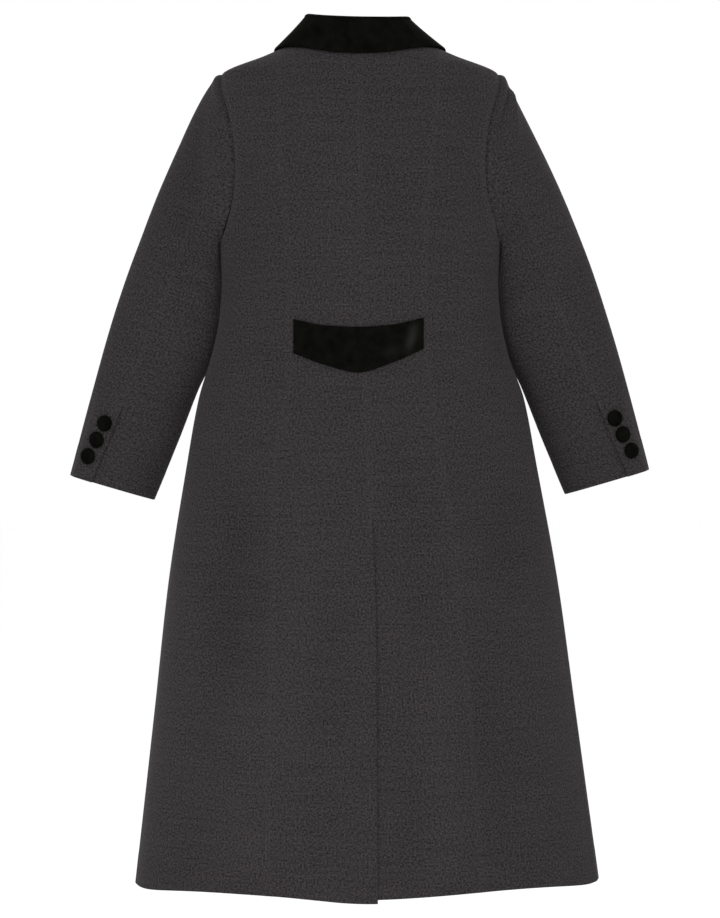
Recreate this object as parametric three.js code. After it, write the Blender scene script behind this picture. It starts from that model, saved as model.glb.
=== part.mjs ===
// A full-length tailored overcoat, filled out as it is worn and empty inside. All sizes are millimetres.
// +X is the wearer's right, +Y is forward and +Z is up. The origin is the middle of the neck opening,
// level with the neck ends of the shoulder seams, where the shoulders carry the coat.
import * as THREE from 'three';

// Driving dimensions
const wall = 2.6; // wool coating with its backing
const seamGap = 0.3; // between two pieces at a seam
const shoulderZ = -50; // shoulder seam at the armhole
const armpitZ = -291;
const princessTopZ = -15; // where the princess seam meets the shoulder seam
const armholeTurn = { back: 0.56, front: 0.62 }; // radians that the armhole is cut round from the side
const neckDrop = { back: 8, front: 85, frontCurve: 2.8 }; // neck edge below the origin at the two centres
const frontLap = { past: 30, lift: 4, fadeFrom: 95, fadeTo: 58 }; // right front over left front
const backVent = { top: -690, lap: 40, lift: 3.5, fadeFrom: 80, fadeTo: 46, fadeHeight: 34, step: 5,
  dropWidth: 145 };
const hem = { level: -1178, dip: 7, dips: 4, tilt: 3.5, fadeFrom: -740, sideRise: 7, sideWidth: 0.25 };
const collarCloth = 3;
const collarRoll = 3.4; // middle of the cloth to the middle of the roll
const collarClear = { back: 1.3, front: 2.4, below: -2 }; // fall of the collar to the coat below it
const collarFoot = { inward: 1.2, up: 0.4, front: 0.8, overLap: 0.5 }; // neck edge of the coat to the stand
const collarTurn = 30; // degrees past the side over which the collar changes to its front shape
const collarSway = { left: 3, tilt: 2 }; // its roll lies a little to the left and stands higher there
const belt = { lift: 0.9, cloth: 2.4, left: -91, right: 87, columns: 12 };
const sleeveButton = { radius: 11.5, height: 6.5 };
const frontButton = { radius: 14, height: 7.5, rows: [-122, -238, -354, -470, -586] };
const buttonGap = 0.3;
const cuffVent = { start: 0.85, fade: 0.05, lap: 0.41, lift: 3.8, fadeFrom: 0.9, fadeTo: 0.5 };
const sleeveClear = { gap: 3, softness: 1.5, fullAt: 0.1 }; // sleeve to side of the body
const neckSpread = { bow: 0.45, rows: 6 }; // how the rows of a panel open out below the neck
const sleeveFoot = { inward: 0.3, outward: 0.3 }; // armhole edge to the sleeve
const sleeveEase = 0.13; // share of the sleeve over which the armhole turns into an oval
const rightSleeve = { from: 0.35, inward: 1, up: 8 }; // how far its lower part hangs nearer and higher
const probe = { turn: 0.02, height: 1, along: 0.01 }; // steps between which a surface's normal is taken

// Sections of the body: half width, depth behind and in front of the side line, roundness of the section
// (2 is an ellipse) and how far the skirt has swung to the wearer's right
const bodySections = [
  { z: 0, halfWidth: 77, back: 52, front: 30, round: 2, swing: 0 },
  { z: -24, halfWidth: 133, back: 66, front: 45, round: 2, swing: 0 },
  { z: -50, halfWidth: 193, back: 80, front: 61, round: 2, swing: 0 },
  { z: -85, halfWidth: 206, back: 95, front: 79, round: 2, swing: 0 },
  { z: -130, halfWidth: 207, back: 106, front: 99, round: 2, swing: 0 },
  { z: -180, halfWidth: 205, back: 112, front: 115, round: 2, swing: 0 },
  { z: -240, halfWidth: 201, back: 111, front: 125, round: 2, swing: 0 },
  { z: -291, halfWidth: 197, back: 104, front: 122, round: 2, swing: 0 },
  { z: -345, halfWidth: 193, back: 96, front: 111, round: 2, swing: 0 },
  { z: -390, halfWidth: 196, back: 93, front: 105, round: 2, swing: 0 },
  { z: -440, halfWidth: 206, back: 99, front: 107, round: 2, swing: 0 },
  { z: -505, halfWidth: 227, back: 111, front: 114, round: 2, swing: 2 },
  { z: -606, halfWidth: 246, back: 123, front: 122, round: 1.95, swing: 3 },
  { z: -760, halfWidth: 272, back: 134, front: 132, round: 1.9, swing: 5 },
  { z: -930, halfWidth: 293, back: 143, front: 142, round: 1.85, swing: 7.5 },
  { z: -1195, halfWidth: 326, back: 154, front: 153, round: 1.8, swing: 11 },
];

// Seams up and down the body, as distances from the centre. The front ones mirror each other.
const seamLines = [
  { z: -15, centre: 0, backLeft: 112, backRight: 112, front: 112 },
  { z: -150, centre: 1, backLeft: 110, backRight: 101, front: 104 },
  { z: -260, centre: 3, backLeft: 102, backRight: 91, front: 94 },
  { z: -385, centre: 5, backLeft: 96, backRight: 88, front: 82 },
  { z: -490, centre: 8, backLeft: 98, backRight: 98, front: 88 },
  { z: -580, centre: 12, backLeft: 113, backRight: 110, front: 102 },
  { z: -680, centre: 17, backLeft: 119, backRight: 124, front: 116 },
  { z: -820, centre: 22, backLeft: 120, backRight: 139, front: 128 },
  { z: -1000, centre: 23, backLeft: 124, backRight: 155, front: 142 },
  { z: -1195, centre: 24, backLeft: 125, backRight: 167, front: 156 },
];

// Radians that each side seam turns to the back below the hip
const sideSeams = [
  { z: -400, right: 0, left: 0 },
  { z: -620, right: 0.16, left: 0 },
  { z: -1195, right: 0.17, left: 0 },
];

// Heights of the rows of the body below the armpit; the last one is the hem
const bodyLevels = [-320, -350, -378, -404, -430, -460, -495, -545, -600, -650, -690, -740, -850, -1000,
  hem.level];

// Sections of a sleeve from armhole to cuff, as seen from behind: its outer and inner edge, half its
// depth and where its middle lies forward
const sleeveSections = [
  { along: 0, outerX: 193, outerZ: -50, innerX: 197, innerZ: -291, depth: 63, middleY: 4 },
  { along: 0.03, outerX: 202, outerZ: -54, innerX: 199, innerZ: -293, depth: 62, middleY: 5 },
  { along: 0.07, outerX: 210, outerZ: -66, innerX: 195, innerZ: -297, depth: 60, middleY: 8 },
  { along: 0.13, outerX: 223, outerZ: -88, innerX: 191, innerZ: -306, depth: 58, middleY: 13 },
  { along: 0.26, outerX: 255, outerZ: -150, innerX: 188, innerZ: -330, depth: 54, middleY: 19 },
  { along: 0.4, outerX: 293, outerZ: -237, innerX: 188, innerZ: -368, depth: 50, middleY: 22 },
  { along: 0.55, outerX: 327, outerZ: -325, innerX: 196, innerZ: -424, depth: 47, middleY: 25 },
  { along: 0.7, outerX: 355, outerZ: -412, innerX: 227, innerZ: -490, depth: 44, middleY: 30 },
  { along: 0.85, outerX: 382, outerZ: -508, innerX: 256, innerZ: -563, depth: 39, middleY: 37 },
  { along: 1, outerX: 410, outerZ: -611, innerX: 291, innerZ: -646, depth: 33, middleY: 48 },
];

// Rings of the sleeve, and how far round from its outer edge the back seam lies
const sleeveRings = [0, 0.025, 0.06, 0.11, 0.18, 0.26, 0.34, 0.42, 0.5, 0.57, 0.64, 0.71, 0.76, 0.8, 0.85,
  0.88, 0.94, 1];
const sleeveSeams = [
  { along: 0, back: 1.571 },
  { along: 0.3, back: 1.48 },
  { along: 0.6, back: 1.38 },
  { along: 0.85, back: 1.28 },
  { along: 1, back: 1.12 },
];

// The collar from the centre back to the centre front: the turn round the neck, the turn and height at
// which its outer edge lies on the coat, the height of the stand and how far it leans in
const collarStations = [
  { neck: 0, edge: 0, edgeZ: -30, stand: 27, lean: 4 },
  { neck: 15, edge: 12.3, edgeZ: -28.5, stand: 27, lean: 4 },
  { neck: 30, edge: 25.4, edgeZ: -24.3, stand: 27, lean: 5.5 },
  { neck: 45, edge: 41.6, edgeZ: -19.5, stand: 27, lean: 7.5 },
  { neck: 60, edge: 58, edgeZ: -17.3, stand: 27, lean: 9 },
  { neck: 75, edge: 72.2, edgeZ: -17.2, stand: 27, lean: 9 },
  { neck: 90, edge: 90, edgeZ: -17.5, stand: 27, lean: 9 },
  { neck: 105, edge: 112, edgeZ: -22, stand: 26, lean: 8 },
  { neck: 120, edge: 128, edgeZ: -34, stand: 24, lean: 6 },
  { neck: 135, edge: 140, edgeZ: -54, stand: 22, lean: 4 },
  { neck: 150, edge: 149.5, edgeZ: -82, stand: 20, lean: 3 },
  { neck: 165, edge: 158.5, edgeZ: -117, stand: 17, lean: 2 },
  { neck: 179, edge: 165.5, edgeZ: -147, stand: 14, lean: 1 },
];

// Upper and lower edge of the half belt, from its left end to its right end
const beltShape = [
  { across: 0, top: -396, bottom: -443 },
  { across: 0.25, top: -405, bottom: -460 },
  { across: 0.5, top: -407, bottom: -470 },
  { across: 0.75, top: -404, bottom: -457 },
  { across: 1, top: -394, bottom: -437 },
];

// Sleeve buttons: height, and radians round from the outer edge of the sleeve
const sleeveButtons = [
  { z: -538, turn: 1.04 },
  { z: -561, turn: 0.96 },
  { z: -584, turn: 0.86 },
];

// Outline of a covered button from the middle of its back to the middle of its top, as shares of its size
const buttonProfile = [
  { radius: 0, height: 0 },
  { radius: 0.9, height: 0 },
  { radius: 1, height: 0.3 },
  { radius: 0.88, height: 0.78 },
  { radius: 0.5, height: 1 },
  { radius: 0, height: 1 },
];

// Steps of the grids
const armholeSteps = 10;
const neckSteps = 6;
const shoulderSteps = 2;
const sideSteps = 5;
const extensionSteps = 2;
const rollSteps = 4;
const standSteps = 2;
const fallSteps = 6;
const beltSteps = 3;
const buttonSides = 16;

const quarter = Math.PI / 2;
const degree = Math.PI / 180;
const up = new THREE.Vector3(0, 0, 1);
const mix = (a, b, t) => a + (b - a) * t;
const clamp01 = (t) => Math.min(1, Math.max(0, t));
const ease = (t) => clamp01(t) ** 2 * (3 - 2 * clamp01(t));
const signedPower = (value, power) => Math.sign(value) * Math.abs(value) ** power;
const steps = (count) => Array.from({ length: count + 1 }, (_, i) => i / count);

// A smooth curve through one column of a table, which never overshoots its rows
function columnCurve(rows, key, name) {
  const sorted = [...rows].sort((p, q) => p[key] - q[key]);
  const x = sorted.map((row) => row[key]);
  const y = sorted.map((row) => row[name]);
  const last = x.length - 1;
  const slope = x.slice(1).map((value, i) => (y[i + 1] - y[i]) / (value - x[i]));
  const tangent = x.map((_, i) => {
    if (i === 0) return slope[0];
    if (i === last) return slope[i - 1];
    const [before, after] = [slope[i - 1], slope[i]];
    return before * after <= 0 ? 0 : (2 * before * after) / (before + after);
  });
  return (at) => {
    if (at <= x[0]) return y[0];
    if (at >= x[last]) return y[last];
    const i = x.findIndex((_, k) => at < x[k + 1]);
    const width = x[i + 1] - x[i];
    const t = (at - x[i]) / width;
    const rise = ease(t) * (y[i + 1] - y[i]);
    const bend = width * t * (1 - t) * (tangent[i] * (1 - t) - tangent[i + 1] * t);
    return y[i] + rise + bend;
  };
}

const curves = (rows, key) =>
  Object.fromEntries(Object.keys(rows[0]).map((name) => [name, columnCurve(rows, key, name)]));

const body = curves(bodySections, 'z');
const seam = curves(seamLines, 'z');
const sideSeam = curves(sideSeams, 'z');
const sleeve = curves(sleeveSections, 'along');
const sleeveSeam = curves(sleeveSeams, 'along');
const beltEdge = curves(beltShape, 'across');

// The body's outer surface. The angle runs from 0 at the centre back, over a quarter turn at the wearer's
// right side, to a half turn at the centre front, and is negative on the left.
function bodyPoint(angle, z) {
  const power = 2 / body.round(z);
  const depth = Math.cos(angle) > 0 ? body.back(z) : body.front(z);
  const x = body.swing(z) + body.halfWidth(z) * signedPower(Math.sin(angle), power);
  return new THREE.Vector3(x, -depth * signedPower(Math.cos(angle), power), z);
}

function bodyNormal(angle, z) {
  const above = Math.min(z + probe.height, 0);
  const across = bodyPoint(angle + probe.turn, z).sub(bodyPoint(angle - probe.turn, z));
  const upward = bodyPoint(angle, above).sub(bodyPoint(angle, above - 2 * probe.height));
  return across.cross(upward).normalize();
}

const bodyAt = (angle, z, lift) => bodyPoint(angle, z).addScaledVector(bodyNormal(angle, z), lift);

// The angle at which the surface lies x from the centre, on the back, or on the front of one side
function backAngle(x, z) {
  const share = THREE.MathUtils.clamp((x - body.swing(z)) / body.halfWidth(z), -1, 1);
  return Math.asin(signedPower(share, body.round(z) / 2));
}
const frontAngle = (side, x, z) => side * Math.PI - backAngle(x, z);

// Height of the neck edge at an angle, which dips a little at the back and deeply at the front
function neckEdgeZ(angle) {
  const turn = Math.abs(angle) > Math.PI ? 2 * Math.PI - Math.abs(angle) : Math.abs(angle);
  const fromSide = Math.abs(turn - quarter) / quarter;
  if (turn < quarter) return -neckDrop.back * Math.cos(turn) ** 2;
  return -neckDrop.front * fromSide ** neckDrop.frontCurve;
}

function hemRise(angle, z) {
  const share = clamp01((hem.fadeFrom - z) / (hem.fadeFrom - hem.level));
  const wave = (1 + Math.cos(hem.dips * angle)) / 2;
  const side = hem.sideRise * Math.exp(-(((Math.abs(angle) - quarter) / hem.sideWidth) ** 2));
  return share * (hem.tilt * Math.sin(angle) - hem.dip * wave + side);
}

// Top edges of the panels, as the angle and height of each column. Side is 1 on the wearer's right.
const neckPoint = (angle) => ({ angle, z: neckEdgeZ(angle) });
const shoulderPoint = (side, z) => ({ angle: side * quarter, z });
const neckRow = (side, from, to) =>
  steps(neckSteps).map((t) => neckPoint(side * mix(from, to, t)));
const shoulderRow = (side, from, to, count) =>
  steps(count).map((t) => shoulderPoint(side, mix(from, to, t)));
const armholeShare = (row) => (1 - Math.cos((Math.PI * row) / armholeSteps)) / 2;

function armholeAngle(z, facing) {
  const share = clamp01((z - shoulderZ) / (armpitZ - shoulderZ));
  const across = 2 * Math.sqrt(share * (1 - share));
  return facing === 'back' ? quarter - armholeTurn.back * across : quarter + armholeTurn.front * across;
}

// The outer edge of the back and front on one side: armhole down to the armpit, then the side seam
function sideAngle(side, z, facing) {
  if (z > armpitZ) return side * armholeAngle(z, facing);
  return side * (quarter - (side > 0 ? sideSeam.right(z) : sideSeam.left(z)));
}

// Points of a panel as angle, height and lift, from its first edge to its last. Each row is level at the
// armpit and below. A panel with a neck edge gives the function angleOf, and its columns start below the
// neck and bow towards the princess seam, which is its first edge, before they spread evenly.
function panelRows({ top, first, last, angleOf, lift = () => 0, drop = () => 0 }) {
  const end = top.length - 1;
  const turn = top[end].angle - top[0].angle;
  const rowHeight = (row, column) =>
    row <= armholeSteps
      ? mix(top[column].z, armpitZ, armholeShare(row))
      : bodyLevels[row - armholeSteps - 1];
  const angleIn = (row, column) => {
    const start = top[column];
    const [firstZ, lastZ] = [rowHeight(row, 0), rowHeight(row, end)];
    const [firstAngle, lastAngle] = [first(firstZ), last(lastZ)];
    if (row === 0) return start.angle;
    if (!angleOf || column === 0 || column === end) return mix(firstAngle, lastAngle, column / end);
    const [firstX, lastX] = [bodyPoint(firstAngle, firstZ).x, bodyPoint(lastAngle, lastZ).x];
    const startX = bodyPoint(start.angle, start.z).x;
    const towardsSeam = neckSpread.bow * (1 - (start.angle - top[0].angle) / turn);
    const bowed = mix(startX, firstX, towardsSeam);
    const even = mix(firstX, lastX, column / end);
    return angleOf(mix(bowed, even, ease(row / neckSpread.rows)), rowHeight(row, column));
  };
  return Array.from({ length: armholeSteps + bodyLevels.length + 1 }, (_, row) =>
    top.map((_, column) => {
      const angle = angleIn(row, column);
      const level = rowHeight(row, column);
      const x = bodyPoint(angle, level).x;
      return { angle, z: level + hemRise(angle, level) - drop(x, level), lift: lift(x, level) };
    }));
}

// Moves the edges of a grid of points in by half the seam gap
function pullEdges(grid) {
  const pulled = grid.map((row) => row.map((point) => point.clone()));
  const [rows, columns] = [grid.length - 1, grid[0].length - 1];
  const pull = (row, column, nextRow, nextColumn) => {
    const step = grid[nextRow][nextColumn].clone().sub(grid[row][column]);
    pulled[row][column].add(step.setLength(seamGap / 2));
  };
  for (let row = 0; row <= rows; row += 1) {
    pull(row, 0, row, 1);
    pull(row, columns, row, columns - 1);
  }
  for (let column = 0; column <= columns; column += 1) {
    pull(0, column, 1, column);
    pull(rows, column, rows - 1, column);
  }
  return pulled;
}

// A closed wall between two grids of points of the same size
function wallGeometry(outer, inner) {
  const [rows, columns] = [outer.length, outer[0].length];
  const at = (side, row, column) => (side * rows + row) * columns + column;
  const faces = [];
  const quad = (a, b, c, d) => faces.push(a, b, c, a, c, d);
  for (let row = 0; row < rows - 1; row += 1) {
    for (let column = 0; column < columns - 1; column += 1) {
      quad(at(0, row, column), at(0, row + 1, column), at(0, row + 1, column + 1), at(0, row, column + 1));
      quad(at(1, row, column), at(1, row, column + 1), at(1, row + 1, column + 1), at(1, row + 1, column));
    }
    quad(at(0, row, 0), at(1, row, 0), at(1, row + 1, 0), at(0, row + 1, 0));
    const end = columns - 1;
    quad(at(0, row, end), at(0, row + 1, end), at(1, row + 1, end), at(1, row, end));
  }
  for (let column = 0; column < columns - 1; column += 1) {
    quad(at(0, 0, column), at(0, 0, column + 1), at(1, 0, column + 1), at(1, 0, column));
    const end = rows - 1;
    quad(at(0, end, column + 1), at(0, end, column), at(1, end, column), at(1, end, column + 1));
  }
  const geometry = new THREE.BufferGeometry().setFromPoints([...outer.flat(), ...inner.flat()]);
  geometry.setIndex(faces);
  return facingOut(geometry);
}

// Turns the faces round where a mirrored piece has them inside out
function facingOut(geometry) {
  const position = geometry.getAttribute('position');
  const index = geometry.getIndex().array;
  const corner = (i) => new THREE.Vector3().fromBufferAttribute(position, index[i]);
  let volume = 0;
  for (let i = 0; i < index.length; i += 3) volume += corner(i).dot(corner(i + 1).cross(corner(i + 2)));
  if (volume < 0) {
    for (let i = 0; i < index.length; i += 3) [index[i], index[i + 1]] = [index[i + 1], index[i]];
  }
  geometry.computeVertexNormals();
  return geometry;
}

const coat = new THREE.Group();
coat.name = 'overcoat';

function addPiece(name, geometry, colour, roughness) {
  const material = new THREE.MeshStandardMaterial({ color: colour, roughness, metalness: 0 });
  const mesh = new THREE.Mesh(geometry, material);
  mesh.name = name;
  coat.add(mesh);
  return mesh;
}
const addWool = (name, geometry) => addPiece(name, geometry, 0x343233, 0.95);
const addVelvet = (name, geometry) => addPiece(name, geometry, 0x0f0f0d, 0.9);

function addPanel(name, shape) {
  const rows = panelRows(shape);
  const grid = (depth) => rows.map((row) => row.map(({ angle, z, lift }) => bodyAt(angle, z, lift - depth)));
  addWool(name, wallGeometry(pullEdges(grid(0)), pullEdges(grid(wall))));
}

// The right front lies higher where it covers the left front
const fadeIn = (distance, { fadeFrom, fadeTo }) => ease((fadeFrom - distance) / (fadeFrom - fadeTo));
const frontLift = (x) => frontLap.lift * fadeIn(x, frontLap);

// The left back covers the right back below the top of the vent, and its corner hangs a little lower
function ventLift(x, z) {
  const height = ease((backVent.top + backVent.fadeHeight - z) / backVent.fadeHeight);
  return backVent.lift * height * fadeIn(seam.centre(z) - x, backVent);
}
function ventDrop(x, z) {
  return z > hem.level ? 0 : backVent.step * ease(1 - (seam.centre(z) - x) / backVent.dropWidth);
}

// The top edge of a back or front: the shoulder seam from the princess seam to the neck, then the neck edge
const neckTop = (side, centre) => [
  ...shoulderRow(side, princessTopZ, 0, shoulderSteps),
  ...neckRow(side, quarter, centre).slice(1),
];

function addBack(name, side) {
  const covered = name === 'right';
  const princess = (z) => backAngle(side > 0 ? seam.backRight(z) : -seam.backLeft(z), z);
  const underLap = (z) => (covered && z < backVent.top ? backVent.lap : 0);
  addPanel(`back_${name}`, {
    top: neckTop(side, 0),
    first: princess,
    last: (z) => backAngle(seam.centre(z) - underLap(z), z),
    angleOf: backAngle,
    lift: covered ? undefined : ventLift,
    drop: covered ? undefined : ventDrop,
  });
  addPanel(`side_back_${name}`, {
    top: shoulderRow(side, princessTopZ, shoulderZ, sideSteps),
    first: princess,
    last: (z) => sideAngle(side, z, 'back'),
  });
}

function addFront(name, side) {
  const princess = (z) => frontAngle(side, side * seam.front(z), z);
  const edge = (z) => frontAngle(side, -side * frontLap.past, z);
  const past = steps(extensionSteps).slice(1);
  addPanel(`front_${name}`, {
    top: [
      ...neckTop(side, Math.PI),
      ...past.map((t) => neckPoint(mix(side * Math.PI, edge(-neckDrop.front), t))),
    ],
    first: princess,
    last: edge,
    angleOf: (x, z) => frontAngle(side, x, z),
    lift: name === 'right' ? frontLift : undefined,
  });
  addPanel(`side_front_${name}`, {
    top: shoulderRow(side, princessTopZ, shoulderZ, sideSteps),
    first: princess,
    last: (z) => sideAngle(side, z, 'front'),
  });
}

// Outer surface of a sleeve on the wearer's right. The turn is 0 along its outer edge, positive over its
// back and negative over its front, and a half turn along its inner edge.
function sleeveSection(along, turn) {
  const [outerShare, innerShare] = [(1 + Math.cos(turn)) / 2, (1 - Math.cos(turn)) / 2];
  return new THREE.Vector3(
    outerShare * sleeve.outerX(along) + innerShare * sleeve.innerX(along),
    sleeve.middleY(along) - Math.sin(turn) * sleeve.depth(along),
    outerShare * sleeve.outerZ(along) + innerShare * sleeve.innerZ(along),
  );
}

const facingOf = (turn) => (Math.sin(turn) >= 0 ? 'back' : 'front');

function armholePoint(turn) {
  const z = mix(shoulderZ, armpitZ, (1 - Math.cos(turn)) / 2);
  return bodyPoint(armholeAngle(z, facingOf(turn)), z);
}

// Sideways place of the body's side at a depth, or nothing beyond its depth
function bodySideX(y, z) {
  const depth = y < 0 ? body.back(z) : body.front(z);
  const share = Math.abs(y) / depth;
  if (share >= 1) return -Infinity;
  return body.halfWidth(z) * (1 - share ** body.round(z)) ** (1 / body.round(z)) + Math.abs(body.swing(z));
}

// Keeps a sleeve clear of the body's side, flattening it softly where they touch
function clearOfBody(point, along) {
  const share = ease(along / sleeveClear.fullAt);
  const limit = bodySideX(point.y, point.z) + sleeveClear.gap * share;
  if (!Number.isFinite(limit)) return point;
  const past = point.x - limit;
  const softness = sleeveClear.softness * share;
  point.x = limit + (past + Math.hypot(past, 2 * softness)) / 2;
  return point;
}

function sleevePoint(along, turn) {
  const point = sleeveSection(along, turn);
  const fade = 1 - ease(along / sleeveEase);
  point.addScaledVector(armholePoint(turn).sub(sleeveSection(0, turn)), fade);
  return along > 0 ? clearOfBody(point, along) : point;
}

function sleeveNormal(along, turn) {
  const [from, to] = [Math.max(0, along - probe.along), Math.min(1, along + probe.along)];
  const round = sleevePoint(along, turn + probe.turn).sub(sleevePoint(along, turn - probe.turn));
  const down = sleevePoint(to, turn).sub(sleevePoint(from, turn));
  const normal = round.cross(down).normalize();
  if (along > 0) return normal;
  // At the armhole the wall is mitred with the body's, but not under the arm, where it doubles back
  const point = armholePoint(turn);
  const bodySide = bodyNormal(armholeAngle(point.z, facingOf(turn)), point.z);
  return normal.lerp(bodySide, ease(2 * normal.dot(bodySide) - 1)).normalize();
}

// The first ring keeps clear of the edge of the armhole
function sleeveAt(side, along, turn, lift) {
  const point = sleevePoint(along, turn);
  if (along === 0) {
    const middle = sleeveSection(0, quarter).setY(sleeve.middleY(0));
    point.add(middle.sub(point).setLength(sleeveFoot.inward));
    point.x += sleeveFoot.outward;
  }
  point.addScaledVector(sleeveNormal(along, turn), lift);
  if (side > 0) {
    const share = ease((along - rightSleeve.from) / (1 - rightSleeve.from));
    point.x -= rightSleeve.inward * share;
    point.z += rightSleeve.up * share;
  }
  return point.setX(side * point.x);
}

// Turns of the columns of a ring. The seams stay on the same columns from armhole to cuff.
function ringTurn(along, column) {
  const [half, seamColumn] = [armholeSteps, armholeSteps / 2];
  if (column < 0) return (column / half) * Math.PI;
  const back = sleeveSeam.back(along);
  if (column <= seamColumn) return (column / seamColumn) * back;
  return mix(back, Math.PI, (column - seamColumn) / (half - seamColumn));
}

function cuffLift(along, turn) {
  const height = ease((along - cuffVent.start + cuffVent.fade) / cuffVent.fade);
  return cuffVent.lift * height * fadeIn(sleeveSeam.back(along) - turn, cuffVent);
}

function addSleeve(name, side) {
  const backSeam = armholeSteps / 2;
  const frontSeam = -armholeSteps / 2 - 1;
  const turns = 2 * armholeSteps;
  const columnsOf = (from, to) => Array.from({ length: to - from + 1 }, (_, i) => from + i);
  const sheet = (columns, turnAt, liftAt) => {
    const grid = (depth) => sleeveRings.map((along) =>
      columns.map((column) => {
        const turn = turnAt(along, column);
        return sleeveAt(side, along, turn, liftAt(along, turn) - depth);
      }));
    return wallGeometry(pullEdges(grid(0)), pullEdges(grid(wall)));
  };
  addWool(`top_sleeve_${name}`, sheet(columnsOf(frontSeam, backSeam), ringTurn, cuffLift));
  // The under sleeve reaches below the top one at the vent
  const underTurn = (along, column) => {
    if (column > armholeSteps) return ringTurn(along, column - turns) + 2 * Math.PI;
    const lapped = column === backSeam && along > cuffVent.start;
    return ringTurn(along, column) - (lapped ? cuffVent.lap : 0);
  };
  addWool(`under_sleeve_${name}`, sheet(columnsOf(backSeam, turns + frontSeam), underTurn, () => 0));
}

function addButton(name, place, normal, size) {
  const profile = buttonProfile.map(({ radius, height }) =>
    new THREE.Vector2(radius * size.radius, height * size.height));
  const mesh = addVelvet(name, facingOut(new THREE.LatheGeometry(profile, buttonSides)));
  mesh.position.copy(place);
  mesh.quaternion.setFromUnitVectors(new THREE.Vector3(0, 1, 0), normal);
}

// Where along the sleeve a turn reaches a height
function alongAtHeight(turn, z) {
  let [low, high] = [0, 1];
  for (let i = 0; i < 30; i += 1) {
    const middle = (low + high) / 2;
    if (sleevePoint(middle, turn).z > z) low = middle;
    else high = middle;
  }
  return low;
}

function addSleeveButtons(name, side) {
  sleeveButtons.forEach(({ z, turn }, i) => {
    const along = alongAtHeight(turn, z);
    const place = sleeveAt(side, along, turn, cuffLift(along, turn) + buttonGap);
    const normal = sleeveNormal(along, turn);
    normal.x *= side;
    addButton(`sleeve_button_${name}_${i + 1}`, place, normal, sleeveButton);
  });
}

function addFrontButtons() {
  frontButton.rows.forEach((z, i) => {
    const angle = frontAngle(1, 0, z);
    const place = bodyAt(angle, z, frontLift(0) + buttonGap);
    addButton(`front_button_${i + 1}`, place, bodyNormal(angle, z), frontButton);
  });
}

// Height of the middle of the collar's cloth over the coat below it
function collarLift(angle, x) {
  const share = ease((Math.abs(angle) - quarter) / (collarTurn * degree));
  const clear = mix(collarClear.back, collarClear.front, share);
  return clear + collarCloth / 2 + share * frontLift(Math.abs(x));
}

function clearOfCoat(point) {
  if (point.z > collarClear.below) return point;
  const angle = Math.atan2(
    (point.x - body.swing(point.z)) / body.halfWidth(point.z),
    -point.y / (point.y < 0 ? body.back(point.z) : body.front(point.z)),
  );
  const normal = bodyNormal(angle, point.z);
  const height = point.clone().sub(bodyPoint(angle, point.z)).dot(normal);
  const needed = collarLift(angle, point.x);
  return height < needed ? point.addScaledVector(normal, needed - height) : point;
}

// The middle of the collar's cloth at one station: up the stand, over the roll and down the fall
function collarProfile(side, { neck, edge, edgeZ, stand, lean }) {
  const angle = side * neck * degree;
  const outward = new THREE.Vector3(Math.sin(angle), -Math.cos(angle), 0);
  const foot = bodyPoint(angle, neckEdgeZ(angle));
  const overFront = collarFoot.front + collarFoot.overLap * frontLift(Math.abs(foot.x));
  const height = collarFoot.up + ease((neck - 90) / collarTurn) * overFront;
  foot.addScaledVector(outward, -collarFoot.inward).addScaledVector(up, height);
  const roll = foot.clone().addScaledVector(outward, -lean + collarRoll)
    .addScaledVector(up, stand - collarSway.tilt * Math.sin(angle));
  roll.x -= collarSway.left;
  const rollPoint = (turn) =>
    roll.clone()
      .addScaledVector(outward, -collarRoll * Math.cos(turn))
      .addScaledVector(up, collarRoll * Math.sin(turn));
  const standTop = rollPoint(0);
  const fallTop = rollPoint(Math.PI);
  const edgeAngle = side * edge * degree;
  const fallEnd = bodyAt(edgeAngle, edgeZ, collarLift(edgeAngle, bodyPoint(edgeAngle, edgeZ).x));
  return [
    ...steps(standSteps).slice(0, -1).map((t) => foot.clone().lerp(standTop, t)),
    ...steps(rollSteps).map((t) => rollPoint(t * Math.PI)),
    ...steps(fallSteps).slice(1).map((t) => clearOfCoat(fallTop.clone().lerp(fallEnd, t))),
  ];
}

// The two faces of a sheet of cloth whose middle is a grid of points
function sheetFaces(grid, thickness) {
  const [rows, columns] = [grid.length - 1, grid[0].length - 1];
  const face = (distance) => grid.map((line, row) =>
    line.map((point, column) => {
      const alongRow = line[Math.min(column + 1, columns)].clone().sub(line[Math.max(column - 1, 0)]);
      const alongColumn = grid[Math.min(row + 1, rows)][column].clone()
        .sub(grid[Math.max(row - 1, 0)][column]);
      return point.clone().addScaledVector(alongRow.cross(alongColumn).normalize(), distance);
    }));
  return [face(thickness / 2), face(-thickness / 2)];
}

function addCollar() {
  const left = collarStations.slice(1).reverse().map((station) => collarProfile(-1, station));
  const right = collarStations.map((station) => collarProfile(1, station));
  addVelvet('collar', wallGeometry(...sheetFaces([...left, ...right], collarCloth)));
}

function addBelt() {
  const grid = (lift) => steps(beltSteps).map((down) =>
    steps(belt.columns).map((across) => {
      const z = mix(beltEdge.top(across), beltEdge.bottom(across), down);
      return bodyAt(backAngle(mix(belt.left, belt.right, across), z), z, lift);
    }));
  addVelvet('half_belt', wallGeometry(grid(belt.lift + belt.cloth), grid(belt.lift)));
}

for (const [name, side] of [['right', 1], ['left', -1]]) {
  addBack(name, side);
  addFront(name, side);
  addSleeve(name, side);
  addSleeveButtons(name, side);
}
addCollar();
addBelt();
addFrontButtons();

export default coat;
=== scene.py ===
import math

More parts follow.
